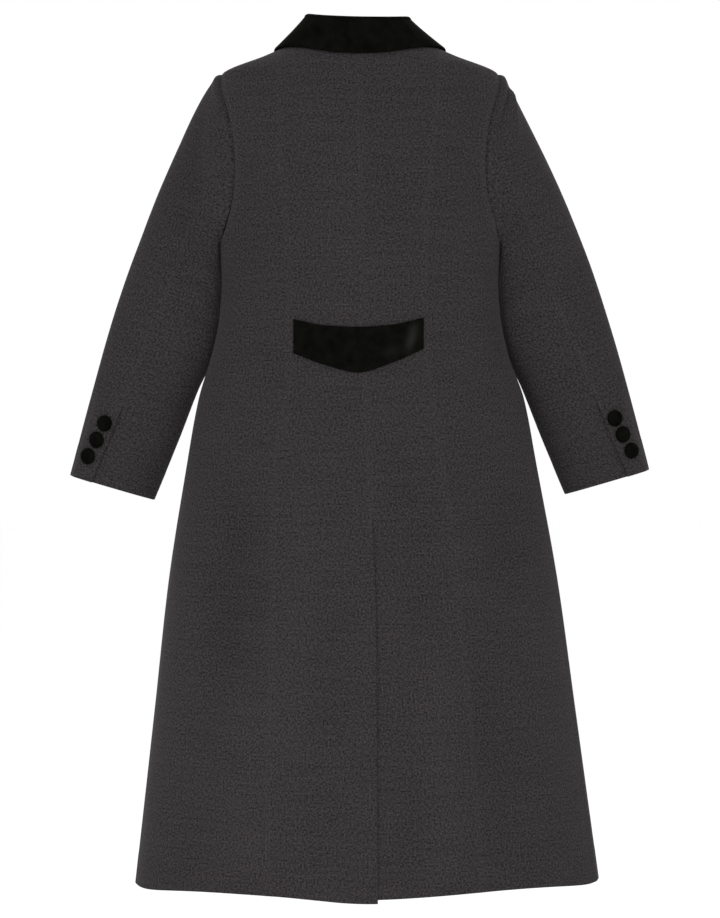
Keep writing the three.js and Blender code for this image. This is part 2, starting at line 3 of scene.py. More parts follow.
import bpy
import numpy as np
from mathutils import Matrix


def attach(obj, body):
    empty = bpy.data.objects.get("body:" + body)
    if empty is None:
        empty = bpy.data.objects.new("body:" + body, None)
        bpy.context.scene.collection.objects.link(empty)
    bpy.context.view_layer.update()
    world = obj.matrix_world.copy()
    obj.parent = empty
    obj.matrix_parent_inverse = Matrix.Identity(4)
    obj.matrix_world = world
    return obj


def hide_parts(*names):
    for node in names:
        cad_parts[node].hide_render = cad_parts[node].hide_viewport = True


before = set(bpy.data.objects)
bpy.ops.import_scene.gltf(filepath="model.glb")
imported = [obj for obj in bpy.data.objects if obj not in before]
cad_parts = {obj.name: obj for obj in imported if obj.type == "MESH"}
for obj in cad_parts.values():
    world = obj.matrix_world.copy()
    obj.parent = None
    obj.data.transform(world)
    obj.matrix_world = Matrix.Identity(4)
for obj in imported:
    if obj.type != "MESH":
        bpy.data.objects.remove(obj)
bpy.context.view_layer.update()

# Sizes are millimetres until a mesh is made. +X is the wearer's right, +Y is forward and +Z is up.
# The surfaces follow the same sections, seams and edges as the CAD part, with many more points.
quarter = math.pi / 2

cloth = {
    "wall": 2.6,  # wool coating with its backing
    "seamLap": 0.05,  # each edge runs this far into its seam, so that no light comes through
    "rim": 0.04,  # half of the flat that is left along a rounded edge
    "ridge": 1.15,  # pressed seam allowance under the cloth
    "ridgeWidth": 6.0,
    "ditch": 0.75,
    "ditchWidth": 1.0,
    "hemTurn": 0.25,  # turned-up hem under the cloth
    "hemDepth": 42,
    "hemFade": 5,
    "stillTop": 60,  # how far below its neck edge and shoulder a panel lies still
    "patternShift": (137, 71),  # from one piece to the next, so that no two have the same flecks
}
# how far the panels sink into the armhole seam, low down and at the shoulder
armholeSeam = {"low": 0.55, "high": 0.12, "highFrom": -100, "fade": 40, "width": 2.6, "startFade": 24}
body = {
    "shoulderZ": -50,
    "armpitZ": -291,
    "princessTopZ": -15,
    "backTurn": 0.56,  # radians that the armhole is cut round from the side
    "frontTurn": 0.62,
    "neckBack": 8,
    "neckFront": 85,
    "neckCurve": 2.8,
    "bow": 0.45,  # how the rows open out below the neck
    "bowRows": 6,
    "armholeRows": 10,
    "rowStep": 4.5,
    "columnStep": 4.5,
    "radius": 190,  # mean, for the slack of the cloth, which grows down to the hips
    "slackTop": 0.22,
    "slackMore": 0.4,
    "slackFade": 500,
}
hem = {
    "level": -1178,
    "dip": 7,  # how far it hangs down between its rises, and how many times round
    "dips": 4,
    "tilt": 3.5,
    "fadeFrom": -740,
    "sideRise": 7,
    "sideWidth": 0.25,
    "drop": 300,  # height of the vent's lower part, where its step grows
}
frontLap = {"past": 30, "lift": 4, "fadeFrom": 95, "fadeTo": 58}
backVent = {
    "top": -690,
    "lap": 40,
    "lift": 3.5,
    "fadeFrom": 80,
    "fadeTo": 46,
    "fadeHeight": 34,
    "step": 5,
    "dropWidth": 145,
}

# height, half width, depth behind and in front of the side line, roundness, swing to the wearer's right
bodySections = [
    (0, 77, 52, 30, 2, 0),
    (-24, 133, 66, 45, 2, 0),
    (-50, 193, 80, 61, 2, 0),
    (-85, 206, 95, 79, 2, 0),
    (-130, 207, 106, 99, 2, 0),
    (-180, 205, 112, 115, 2, 0),
    (-240, 201, 111, 125, 2, 0),
    (-291, 197, 104, 122, 2, 0),
    (-345, 193, 96, 111, 2, 0),
    (-390, 196, 93, 105, 2, 0),
    (-440, 206, 99, 107, 2, 0),
    (-505, 227, 111, 114, 2, 2),
    (-606, 246, 123, 122, 1.95, 3),
    (-760, 272, 134, 132, 1.9, 5),
    (-930, 293, 143, 142, 1.85, 7.5),
    (-1195, 326, 154, 153, 1.8, 11),
]
# height, centre back seam, left and right back princess seams, front princess seams
seamLines = [
    (-15, 0, 112, 112, 112),
    (-150, 1, 110, 101, 104),
    (-260, 3, 102, 91, 94),
    (-385, 5, 96, 88, 82),
    (-490, 8, 98, 98, 88),
    (-580, 12, 113, 110, 102),
    (-680, 17, 119, 124, 116),
    (-820, 22, 120, 139, 128),
    (-1000, 23, 124, 155, 142),
    (-1195, 24, 125, 167, 156),
]
# height, radians that the right and the left side seam turn to the back
sideSeams = [(-400, 0, 0), (-620, 0.16, 0), (-1195, 0.17, 0)]


def clamp01(value):
    return np.clip(value, 0.0, 1.0)


def ease(value):
    share = clamp01(value)
    return share * share * (3 - 2 * share)


def mix(a, b, share):
    return a + (b - a) * share


def addObject(name, data):
    item = bpy.data.objects.new(name, data)
    bpy.context.scene.collection.objects.link(item)
    return item


def signedPower(value, power):
    return np.sign(value) * np.abs(value) ** power


def unit(vectors):
    return vectors / np.maximum(np.linalg.norm(vectors, axis=-1, keepdims=True), 1e-9)


def smoothCurve(places, values):  # a smooth curve through a table that never overshoots it
    slope = np.diff(values) / np.diff(places)
    before, after = slope[:-1], slope[1:]
    product, total = before * after, before + after
    inner = np.where(product > 0, 2 * product / np.where(product > 0, total, 1), 0)
    tangent = np.concatenate([slope[:1], inner, slope[-1:]])

    def at(value):
        inside = np.clip(value, places[0], places[-1])
        i = np.clip(np.searchsorted(places, inside, side="right") - 1, 0, len(places) - 2)
        width = places[i + 1] - places[i]
        t = (inside - places[i]) / width
        bend = width * t * (1 - t) * (tangent[i] * (1 - t) - tangent[i + 1] * t)
        return values[i] + ease(t) * (values[i + 1] - values[i]) + bend

    return at


def curvesOf(rows, *names):
    columns = np.array(sorted(rows), dtype=float).T
    return {name: smoothCurve(columns[0], column) for name, column in zip(names, columns[1:])}


section = curvesOf(bodySections, "halfWidth", "back", "front", "round", "swing")
seam = curvesOf(seamLines, "centre", "backLeft", "backRight", "front")
sideSeam = curvesOf(sideSeams, "right", "left")


# The body. The angle runs from 0 at the centre back to a quarter turn at the wearer's right side and a
# half turn at the centre front, and is negative on the left.
def bodyPoint(angle, z):
    angle, z = np.broadcast_arrays(np.asarray(angle, float), np.asarray(z, float))
    power = 2 / section["round"](z)
    depth = np.where(np.cos(angle) > 0, section["back"](z), section["front"](z))
    x = section["swing"](z) + section["halfWidth"](z) * signedPower(np.sin(angle), power)
    return np.stack([x, -depth * signedPower(np.cos(angle), power), z], axis=-1)


def bodyNormal(angle, z):
    above = np.minimum(np.asarray(z, float) + 1, 0)
    across = bodyPoint(np.asarray(angle) + 0.02, z) - bodyPoint(np.asarray(angle) - 0.02, z)
    upward = bodyPoint(angle, above) - bodyPoint(angle, above - 2)
    return unit(np.cross(across, upward))


def bodyAt(angle, z, lift):
    return bodyPoint(angle, z) + bodyNormal(angle, z) * np.asarray(lift, float)[..., None]


def backAngle(x, z):
    share = np.clip((x - section["swing"](z)) / section["halfWidth"](z), -1, 1)
    return np.arcsin(signedPower(share, section["round"](z) / 2))


def frontAngle(side, x, z):
    return side * math.pi - backAngle(x, z)


def neckEdgeZ(angle):
    turn = np.abs(angle)
    turn = np.where(turn > math.pi, 2 * math.pi - turn, turn)
    fromSide = np.abs(turn - quarter) / quarter
    front = -body["neckFront"] * fromSide ** body["neckCurve"]
    return np.where(turn < quarter, -body["neckBack"] * np.cos(turn) ** 2, front)


def hemRise(angle, z):
    share = clamp01((hem["fadeFrom"] - z) / (hem["fadeFrom"] - hem["level"]))
    wave = (1 + np.cos(hem["dips"] * angle)) / 2
    side = hem["sideRise"] * np.exp(-(((np.abs(angle) - quarter) / hem["sideWidth"]) ** 2))
    return share * (hem["tilt"] * np.sin(angle) - hem["dip"] * wave + side)


def armholeAngle(z, facing):
    share = clamp01((z - body["shoulderZ"]) / (body["armpitZ"] - body["shoulderZ"]))
    across = 2 * np.sqrt(share * (1 - share))
    return np.where(facing, quarter - body["backTurn"] * across, quarter + body["frontTurn"] * across)


def sideAngle(side, z, isBack):
    turned = sideSeam["right" if side > 0 else "left"](z)
    return side * np.where(z > body["armpitZ"], armholeAngle(z, isBack), quarter - turned)


def fadeIn(distance, lap):
    return ease((lap["fadeFrom"] - distance) / (lap["fadeFrom"] - lap["fadeTo"]))


def frontLift(x):
    return frontLap["lift"] * fadeIn(x, frontLap)


def ventLift(x, z):
    height = ease((backVent["top"] + backVent["fadeHeight"] - z) / backVent["fadeHeight"])
    return backVent["lift"] * height * fadeIn(seam["centre"](z) - x, backVent)


def ventDrop(x, z):
    low = ease((z - hem["level"] - hem["drop"]) / -hem["drop"])
    return backVent["step"] * low * ease(1 - (seam["centre"](z) - x) / backVent["dropWidth"])


creaseDepth = 1.5  # how much deeper than measured a fold is, so that it shows in soft light

# Soft troughs and ridges, laid as the photograph shows them on the back and much like it on the
# hidden sides: the path along the cloth, its half width, and its height out of the cloth, all in mm.
backCreases = [
    ([(-164, -196), (-152, -300), (-160, -372)], 24, -2.6),
    ([(-136, -150), (-128, -262)], 20, 1.2),
    ([(-60, -160), (-48, -262), (-58, -360)], 26, 1.1),
    ([(-18, -120), (-8, -330)], 15, 0.7),
    ([(44, -132), (52, -300)], 24, -1.1),
    ([(150, -300), (158, -392)], 22, 1.5),
    ([(128, -118), (140, -206)], 20, -1.2),
    ([(187, -212), (183, -284)], 5.5, 2.4),
    ([(-172, -600), (-176, -748), (-196, -900)], 42, -5.5),
    ([(-226, -640), (-256, -960), (-272, -1150)], 26, 3.0),
    ([(-70, -560), (-84, -760), (-96, -1010)], 34, 2.4),
    ([(-34, -700), (-44, -940), (-54, -1150)], 26, -1.8),
    ([(62, -560), (78, -700), (84, -840)], 30, -2.4),
    ([(112, -860), (124, -1170)], 32, 2.4),
    ([(66, -900), (72, -1170)], 24, -1.8),
    ([(196, -616), (206, -760)], 34, -4.0),
    ([(172, -820), (194, -1180)], 34, -3.0),
    ([(238, -700), (262, -940), (280, -1150)], 24, 2.6),
    ([(-150, -900), (-164, -1180)], 34, 2.2),
    ([(26, -527), (92, -533)], 4.5, -0.6),
    ([(48, -541), (112, -538)], 6, 0.5),
    ([(-96, -508), (-30, -516)], 6, -0.5),
    ([(-112, -412), (-180, -398)], 7, -0.7),
    ([(104, -420), (170, -404)], 7, -0.7),
    ([(108, -446), (186, -452)], 7, 0.5),
    ([(-40, -786), (16, -790)], 6, -0.35),
    ([(40, -820), (150, -812)], 6, 0.4),
    ([(150, -700), (236, -708)], 8, 0.5),
    ([(-230, -846), (-140, -838)], 8, -0.5),
    ([(-200, -1010), (-110, -1002)], 9, -0.5),
    ([(60, -1010), (150, -1018)], 9, 0.45),
]
frontCreases = [
    ([(150, -150), (140, -262)], 22, -2.0),
    ([(-150, -142), (-142, -250)], 22, -1.8),
    ([(60, -300), (70, -420)], 20, 1.2),
    ([(-66, -310), (-72, -430)], 20, 1.1),
    ([(120, -396), (180, -404)], 7, -0.7),
    ([(-118, -404), (-176, -392)], 7, -0.7),
    ([(176, -590), (184, -780), (206, -960)], 42, -5.0),
    ([(-170, -610), (-182, -800), (-196, -940)], 42, -4.6),
    ([(92, -640), (104, -900), (120, -1160)], 34, 2.6),
    ([(-90, -600), (-104, -880), (-118, -1160)], 34, 2.6),
    ([(232, -700), (262, -1000)], 26, 2.6),
    ([(-232, -720), (-262, -1020)], 26, 2.4),
    ([(150, -900), (166, -1180)], 30, -2.4),
    ([(-146, -920), (-160, -1180)], 30, -2.2),
    ([(52, -236), (110, -214)], 8, -0.6),
    ([(-50, -238), (-104, -222)], 8, -0.5),
]
# On a sleeve: how far round it lies from the outer edge, positive to the back, and how far down, in mm
sleeveCreases = {
    "left": [
        ([(26, 24), (44, 110), (64, 190)], 18, -2.2),
        ([(8, 30), (18, 150)], 22, 1.6),
        ([(64, 90), (68, 220), (74, 330)], 32, -4.0),
        ([(40, 190), (48, 330), (54, 420)], 18, 1.3),
        ([(10, 250), (24, 400)], 20, -1.4),
        ([(130, 250), (86, 268)], 8, -1.4),
        ([(140, 282), (92, 300)], 9, 1.0),
        ([(136, 312), (88, 322)], 8, -1.1),
        ([(70, 380), (100, 470)], 16, -1.2),
        ([(-40, 90), (-54, 230)], 20, -1.8),
        ([(-70, 280), (-108, 300)], 9, -1.6),
        ([(-64, 318), (-112, 330)], 9, -1.3),
        ([(-30, 300), (-50, 450)], 20, 1.4),
    ],
    "right": [
        ([(6, 42), (24, 35), (44, 31), (62, 27), (76, 27)], 6, -3.6),
        ([(2, 52), (29, 64), (40, 76), (50, 94)], 6, 2.2),
        ([(-2, 40), (4, 150), (10, 210)], 18, -1.6),
        ([(96, 120), (82, 240), (70, 340)], 24, -2.2),
        ([(44, 150), (36, 240), (52, 330)], 16, 1.5),
        ([(30, 250), (70, 300)], 10, 1.2),
        ([(20, 290), (64, 340)], 11, -1.1),
        ([(130, 256), (84, 276)], 8, -1.5),
        ([(138, 290), (90, 306)], 9, 1.0),
        ([(134, 322), (88, 334)], 8, -1.2),
        ([(44, 420), (92, 428)], 6, 0.7),
        ([(50, 440), (104, 446)], 7, -0.7),
        ([(60, 360), (92, 470)], 16, -1.1),
        ([(-42, 96), (-56, 240)], 20, -1.8),
        ([(-70, 288), (-110, 306)], 9, -1.5),
        ([(-28, 310), (-48, 450)], 20, 1.3),
    ],
}


def creaseRelief(flat, creases):
    total = np.zeros(flat.shape[:-1])
    for path, width, height in creases:
        points = np.array(path, float)
        lengths = np.linalg.norm(np.diff(points, axis=0), axis=1)
        nearest, share = np.full(total.shape, np.inf), np.zeros(total.shape)
        start = 0.0
        for a, step, length in zip(points[:-1], np.diff(points, axis=0), lengths):
            t = clamp01(((flat - a) @ step) / length**2)
            gap = np.linalg.norm(flat - a - t[..., None] * step, axis=-1)
            share = np.where(gap < nearest, (start + t * length) / lengths.sum(), share)
            nearest = np.minimum(nearest, gap)
            start += length
        taper = np.sin(math.pi * (0.06 + 0.88 * share)) ** 0.8
        total += height * taper * np.exp(-((nearest / width) ** 2))
    return total * creaseDepth


def slackRelief(flat, height):  # the slight unevenness of cloth that hangs free
    u, v = flat[..., 0], flat[..., 1]
    waves = np.sin(u / 31 + 1.7 * np.sin(v / 190)) * np.sin(v / 117 + 0.6)
    waves = waves + 0.5 * np.sin(u / 17 + v / 61 + 2.1) * np.sin(v / 43 - u / 90)
    return height * waves


# Shells of cloth
def edgeDistances(points):
    across = np.linalg.norm(np.diff(points, axis=1), axis=-1)
    down = np.linalg.norm(np.diff(points, axis=0), axis=-1)
    first = np.concatenate([np.zeros((len(points), 1)), np.cumsum(across, axis=1)], axis=1)
    top = np.concatenate([np.zeros((1, points.shape[1])), np.cumsum(down, axis=0)], axis=0)
    return first, first[:, -1:] - first, top, top[-1:] - top


def roundEdge(distance, half):  # how far both faces step in, to make a half-round edge
    inside = clamp01(distance / half)
    return (half - cloth["rim"]) * (1 - np.sqrt(1 - (1 - inside) ** 2))


def seamProfile(distance):
    ridge = cloth["ridge"] * np.exp(-((distance / cloth["ridgeWidth"]) ** 2))
    return ridge - cloth["ditch"] * np.exp(-((distance / cloth["ditchWidth"]) ** 2))


def hemTurnUp(bottom):
    return cloth["hemTurn"] * (1 - ease((bottom - cloth["hemDepth"]) / cloth["hemFade"]))


def shifted(first, second):  # places on the cloth's pattern, each piece cut from its own part of it
    return np.stack([first, second], axis=-1) + np.array(cloth["patternShift"]) * len(pieces)


# Painted light and shade in the wool's colour: up to 1 where seams, the armhole edge and raised folds get a
# painted highlight, below 0 where the troughs get painted shade
paintedLightSizes = {"fold": 8, "seam": 1.0, "seamWidth": 3.4, "edge": 1.1, "edgeAt": 5, "edgeWidth": 5}


# a painted highlight along a seam line
def seamHighlight(distance):
    return paintedLightSizes["seam"] * np.exp(-((distance / paintedLightSizes["seamWidth"]) ** 2))


def meshOf(name, points, faces, material, uvs=None, paintedLight=None):
    mesh = bpy.data.meshes.new(name)
    mesh.from_pydata([], [], [])
    mesh.vertices.add(len(points))
    mesh.vertices.foreach_set("co", (points * 0.001).ravel())
    mesh.loops.add(faces.size)
    mesh.loops.foreach_set("vertex_index", faces.ravel())
    mesh.polygons.add(len(faces))
    mesh.polygons.foreach_set("loop_start", np.arange(0, faces.size, faces.shape[1]))
    mesh.polygons.foreach_set("use_smooth", np.ones(len(faces), bool))
    if uvs is not None:
        layer = mesh.uv_layers.new(name="cloth")
        layer.uv.foreach_set("vector", (uvs[faces.ravel()] * 0.001).ravel())
    # each point's painted light and shade, which the materials mix into the colour
    if paintedLight is not None:
        mesh.attributes.new("paintedLight", "FLOAT", "POINT").data.foreach_set("value", paintedLight)
    mesh.update(calc_edges=True)
    mesh.validate()
    mesh.materials.append(material)
    return addObject(name, mesh)


flatSizes = {}  # width, length and area of each piece of cloth, in metres


def makeShell(name, outer, inner, uv, material, paintedLight=None):
    rows, columns = outer.shape[:2]
    index = np.arange(rows * columns).reshape(rows, columns)
    quads = np.stack([index[:-1, :-1], index[1:, :-1], index[1:, 1:], index[:-1, 1:]], axis=-1)
    front = quads.reshape(-1, 4)
    back = front[:, ::-1] + rows * columns
    loop = np.concatenate([index[0, :-1], index[:-1, -1], index[-1, :0:-1], index[:0:-1, 0]])
    onward = np.roll(loop, -1)
    rim = np.stack([loop, onward, onward + rows * columns, loop + rows * columns], axis=-1)
    points = np.concatenate([outer.reshape(-1, 3), inner.reshape(-1, 3)])
    faces = np.concatenate([front, back, rim])
    a, b, c = (points[faces[:, i]] for i in range(3))
    d = points[faces[:, 3]]
    volume = np.sum(a * np.cross(b, c)) + np.sum(a * np.cross(c, d))
    if volume < 0:
        faces = faces[:, ::-1]
    uvs = np.concatenate([uv.reshape(-1, 2)] * 2)
    middle = (outer + inner) / 2
    sides = np.cross(middle[1:, 1:] - middle[:-1, :-1], middle[1:, :-1] - middle[:-1, 1:])
    area = np.linalg.norm(sides, axis=-1).sum() / 2e6
    _, across, _, down = (part.max() / 1000 for part in edgeDistances(middle))
    flatSizes[name] = (across, down, area)
    print(f"{name}: {2 * len(faces)} triangles, {across:.3f} x {down:.3f} m, {area:.4f} m2")
    if paintedLight is not None:
        paintedLight = np.concatenate([paintedLight.ravel()] * 2)
    return meshOf(name, points, faces, material, uvs, paintedLight)


edgeSteps = np.array([0, 0.35, 0.8, 1.3, 2.2, 3.6, 5.6, 8.4])  # how far in the lines at an edge lie


def sharesOf(width, step, corner=None):  # places across a piece, close together at its edges
    edge = edgeSteps / width
    count = max(2, round(width * (1 - 2 * edge[-1]) / step))
    inner = np.linspace(edge[-1], 1 - edge[-1], count + 1)[1:-1]
    shares = np.concatenate([edge, inner, 1 - edge[::-1]])
    if corner is not None:
        shares[np.argmin(np.abs(shares - corner))] = corner
    return mix(-cloth["seamLap"] / width, 1 + cloth["seamLap"] / width, shares)


def bodyRows():
    upper = np.linspace(0, body["armholeRows"], 61)
    end = hem["level"] + edgeSteps[-1]
    count = round((body["armpitZ"] - end) / body["rowStep"])
    lower = np.concatenate([
        np.linspace(body["armpitZ"], end, count + 1)[1:],
        hem["level"] + edgeSteps[-2::-1],
    ])
    return upper, lower


def bodyGrid(shares, top, first, last, angleOf=None):
    upper, lower = bodyRows()
    topAngle, topZ = top(shares)
    fall = (1 - np.cos(math.pi * upper / body["armholeRows"])) / 2
    above = mix(topZ[None, :], body["armpitZ"], fall[:, None])
    z = np.concatenate([above, np.repeat(lower[:, None], len(shares), axis=1)])
    row = np.concatenate([upper, np.full(len(lower), float(body["armholeRows"]))])[:, None]
    edgeZ = np.concatenate([
        mix(np.array(top(np.array([0.0, 1.0]))[1])[None, :], body["armpitZ"], fall[:, None]),
        np.repeat(lower[:, None], 2, axis=1),
    ])
    firstAngle, lastAngle = first(edgeZ[:, 0]), last(edgeZ[:, 1])
    if angleOf is None:
        angle = mix(firstAngle[:, None], lastAngle[:, None], shares[None, :])
        angle[0] = topAngle
        return angle, z
    firstX = bodyPoint(firstAngle, edgeZ[:, 0])[:, :1]
    lastX = bodyPoint(lastAngle, edgeZ[:, 1])[:, :1]
    startX = bodyPoint(topAngle, topZ)[None, :, 0]
    ends = top(np.array([0.0, 1.0]))[0]
    bow = body["bow"] * (1 - (topAngle - ends[0]) / (ends[1] - ends[0]))[None, :] * clamp01(row)
    x = mix(mix(startX, firstX, bow), mix(firstX, lastX, shares[None, :]), ease(row / body["bowRows"]))
    angle = angleOf(x, z)
    angle[0] = topAngle
    return angle, z


def bodyRelief(angle, points):
    flat = points[..., [0, 2]]
    onBack = ease(np.cos(angle) * 4)
    onFront = ease(-np.cos(angle) * 4)
    relief = onBack * creaseRelief(flat, backCreases) + onFront * creaseRelief(flat, frontCreases)
    around = np.where(np.cos(angle) > 0, angle, -angle) * body["radius"]
    hanging = ease((points[..., 2] - body["armpitZ"]) / -body["slackFade"])
    slack = body["slackTop"] + body["slackMore"] * hanging
    return relief + slackRelief(np.stack([around, points[..., 2]], axis=-1), slack) * (onBack + onFront)


pieces = {}


def finishPiece(piece, slot, *replaced):
    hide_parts(*replaced)
    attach(piece, "root")
    pieces[piece.name] = piece
    return piece


def makePanel(name, replaced, shape, material):
    shares = sharesOf(shape["width"], body["columnStep"], shape.get("corner"))
    angle, z = bodyGrid(shares, shape["top"], shape["first"], shape["last"], shape.get("angleOf"))
    x = bodyPoint(angle, z)[..., 0]
    lift = shape["lift"](x, z) if "lift" in shape else np.zeros_like(x)
    drop = shape["drop"](x, z) if "drop" in shape else 0
    z = z + hemRise(angle, z) - drop
    base, normal = bodyPoint(angle, z), bodyNormal(angle, z)
    onward = base[0] - base[1]
    base[0] += cloth["seamLap"] * onward / np.linalg.norm(onward, axis=-1)[:, None]  # shoulder seam
    first, last, top, bottom = edgeDistances(base)
    folds = bodyRelief(angle, base)
    folds = folds * ease(top / cloth["stillTop"])
    half = cloth["wall"] / 2
    freeLast = shape["freeLast"](z) if "freeLast" in shape else 0
    armhole = ease((z - body["armpitZ"]) / armholeSeam["startFade"]) if shape.get("armhole") else 0
    rounding = np.maximum(roundEdge(bottom, half), freeLast * roundEdge(last, half))
    seams = seamProfile(first) * (1 - ease((z + 40) / 20))
    seams = seams + seamProfile(last) * (1 - freeLast) * (1 - armhole)
    height = ease((z - armholeSeam["highFrom"]) / armholeSeam["fade"])
    sink = mix(armholeSeam["low"], armholeSeam["high"], height)
    seams = seams - armhole * sink * np.exp(-((last / armholeSeam["width"]) ** 2))
    turnUp = hemTurnUp(bottom)
    outer = base + normal * (lift + folds + seams + turnUp - rounding)[..., None]
    inner = base + normal * (lift + folds - cloth["wall"] + rounding)[..., None]
    cut = shifted(first, base[..., 2])
    # Painted light and shade: painted highlights along the seams, on raised folds and along the armhole edge,
    # painted shade in the troughs of folds
    paintedLight = folds / paintedLightSizes["fold"] + seamHighlight(first) + seamHighlight(last) * (1 - freeLast) * (1 - armhole)
    edge = paintedLightSizes["edge"] * np.exp(-(((last - paintedLightSizes["edgeAt"]) / paintedLightSizes["edgeWidth"]) ** 2))
    paintedLight = paintedLight + armhole * edge
    return finishPiece(makeShell(name, outer, inner, cut, material, paintedLight), "wool", replaced)


# Materials
def linear(value):  # sRGB hex colour to linear
    parts = [int(value[i : i + 2], 16) / 255 for i in (1, 3, 5)]
    curve = [p / 12.92 if p <= 0.04045 else ((p + 0.055) / 1.055) ** 2.4 for p in parts]
    return (*curve, 1.0)


def addNode(tree, kind, settings=None, **inputs):
    node = tree.nodes.new(kind)
    for key, value in (settings or {}).items():
        setattr(node, key, value)
    for key, value in inputs.items():
        socket = node.inputs[int(key[1:])] if key[0] == "_" else node.inputs[key.replace("_", " ")]
        if isinstance(value, bpy.types.NodeSocket):
            tree.links.new(value, socket)
        else:
            socket.default_value = value
    return node


def startMaterial(name, **sockets):
    material = bpy.data.materials.new(name)
    material.use_nodes = True
    tree = material.node_tree
    tree.nodes.clear()
    output = addNode(tree, "ShaderNodeOutputMaterial")
    shader = addNode(tree, "ShaderNodeBsdfPrincipled", None, **sockets)
    tree.links.new(shader.outputs["BSDF"], output.inputs["Surface"])
    return material, tree, shader


def blend(tree, share, first, second):  # mixes two colours, each a hex value or a socket
    node = addNode(tree, "ShaderNodeMix", {"data_type": "RGBA"})
    tree.links.new(share, node.inputs["Factor"])
    for socket, value in zip([i for i in node.inputs if i.type == "RGBA"], (first, second)):
        if isinstance(value, str):
            socket.default_value = linear(value)
        else:
            tree.links.new(value, socket)
    return next(o for o in node.outputs if o.type == "RGBA")


def milledWool():
    # Milled heather wool coating: short matt fibres of several greys, a soft fleck and weft streaks, with
    # painted highlights and painted shade laid into its colour from each piece's attribute
    look = {
        "dark": "#131213",
        "light": "#333031",
        "range": (0.44, 1.14),
        "paintedLight": 0.075,  # how much lighter a painted highlight and how much darker painted shade make the colour
        "fuzz": 0.6,
        "bump": 0.35,
    }
    # weight in the grey, length and height of a clump of like fibres in mm, detail and roughness
    layers = {
        "fleck": (1.0, 2.6, 2.6, 0.6, 0.5),  # drawn coarser than the real 1 mm so that it shows
        "streak": (0.12, 14, 2.4, 2.0, 0.6),  # thicker weft yarns
        "cloud": (0.06, 60, 60, 2.0, 0.5),
        "fibre": (0.2, 0.55, 0.55, 1.0, 0.5),
        "slub": (0.2, 95, 5, 2.0, 0.6),
    }
    material, tree, shader = startMaterial(
        "milledWool", Roughness=0.95, IOR=1.45, Specular_IOR_Level=0.06, Sheen_Weight=0.08,
        Sheen_Roughness=0.5, Sheen_Tint=linear("#b9b4b2"))
    place = addNode(tree, "ShaderNodeTexCoord").outputs["UV"]
    # the painted highlights and painted shade move the grey up or down
    paintedLightInput = addNode(tree, "ShaderNodeAttribute", {"attribute_name": "paintedLight"}).outputs["Fac"]
    total = addNode(tree, "ShaderNodeMath", {"operation": "MULTIPLY"}, _0=paintedLightInput,
                    _1=look["paintedLight"]).outputs["Value"]
    noises = {}
    for name, (weight, length, height, detail, roughness) in layers.items():
        drawn = addNode(tree, "ShaderNodeMapping", None, Vector=place,
                        Scale=(1000 / length, 1000 / height, 1000 / height))
        noise = addNode(tree, "ShaderNodeTexNoise", {"noise_dimensions": "2D"}, Scale=1.0,
                        Vector=drawn.outputs["Vector"], Detail=detail, Roughness=roughness)
        noises[name] = noise.outputs["Fac"]
        total = addNode(tree, "ShaderNodeMath", {"operation": "MULTIPLY_ADD"}, _0=noises[name],
                        _1=weight, _2=total).outputs["Value"]
    grey = addNode(tree, "ShaderNodeMapRange", None, Value=total, From_Min=look["range"][0],
                   From_Max=look["range"][1])
    colour = blend(tree, grey.outputs["Result"], look["dark"], look["light"])
    tree.links.new(colour, shader.inputs["Base Color"])
    fuzz = addNode(tree, "ShaderNodeMath", {"operation": "MULTIPLY_ADD"}, _0=noises["fibre"],
                   _1=look["fuzz"], _2=noises["fleck"])
    bump = addNode(tree, "ShaderNodeBump", None, Strength=0.55, Distance=look["bump"] * 0.001,
                   Height=fuzz.outputs["Value"])
    tree.links.new(bump.outputs["Normal"], shader.inputs["Normal"])
    return material


def cottonVelvet():
    # Short-pile black velvet: swallows light face on and lights up where the pile is seen from the side, with
    # a painted sheen mixed into its colour where a piece carries one
    look = {
        "dark": "#030302",
        "light": "#0a0a08",
        "paintedSheen": "#2c2c2a",  # colour of the painted sheen, laid in where the velvet should catch the light
        "range": (0.45, 0.95),
        "pileSize": 0.9,
        "brushSize": 16,
        "bump": 0.3,
    }
    material, tree, shader = startMaterial(
        "cottonVelvet", Roughness=0.8, Specular_IOR_Level=0.015, Sheen_Weight=0.05,
        Sheen_Roughness=0.25, Sheen_Tint=linear("#8d8d88"))
    place = addNode(tree, "ShaderNodeTexCoord").outputs["Object"]
    pile = addNode(tree, "ShaderNodeTexNoise", None, Vector=place, Scale=1000 / look["pileSize"],
                   Detail=2.0, Roughness=0.6)
    lean = addNode(tree, "ShaderNodeTexNoise", None, Vector=place, Scale=1000 / look["brushSize"],
                   Detail=2.0, Roughness=0.55)
    both = addNode(tree, "ShaderNodeMath", {"operation": "MULTIPLY_ADD"}, _0=pile.outputs["Fac"],
                   _1=0.35, _2=lean.outputs["Fac"])
    grey = addNode(tree, "ShaderNodeMapRange", None, Value=both.outputs["Value"],
                   From_Min=look["range"][0], From_Max=look["range"][1])
    colour = blend(tree, grey.outputs["Result"], look["dark"], look["light"])
    # mixes in the painted sheen where a piece carries it
    paintedLightInput = addNode(tree, "ShaderNodeAttribute", {"attribute_name": "paintedLight"})
    colour = blend(tree, paintedLightInput.outputs["Fac"], colour, look["paintedSheen"])
    tree.links.new(colour, shader.inputs["Base Color"])
    bump = addNode(tree, "ShaderNodeBump", None, Strength=0.5, Distance=look["bump"] * 0.001,
                   Height=both.outputs["Value"])
    tree.links.new(bump.outputs["Normal"], shader.inputs["Normal"])
    return material


wool = milledWool()
velvet = cottonVelvet()


# Camera, light and floor
def aimed(name, place, target, energy, size):
    light = bpy.data.lights.new(name, "AREA")
    light.shape = "SQUARE"
    light.size = size
    light.energy = energy
    holder = addObject(name, light)
    holder.location = place
    away = [t - p for p, t in zip(place, target)]
    holder.rotation_euler = (
        math.atan2(math.hypot(away[0], away[1]), -away[2]),
        0,
        math.atan2(away[0], -away[1]) + math.pi,
    )
    return holder


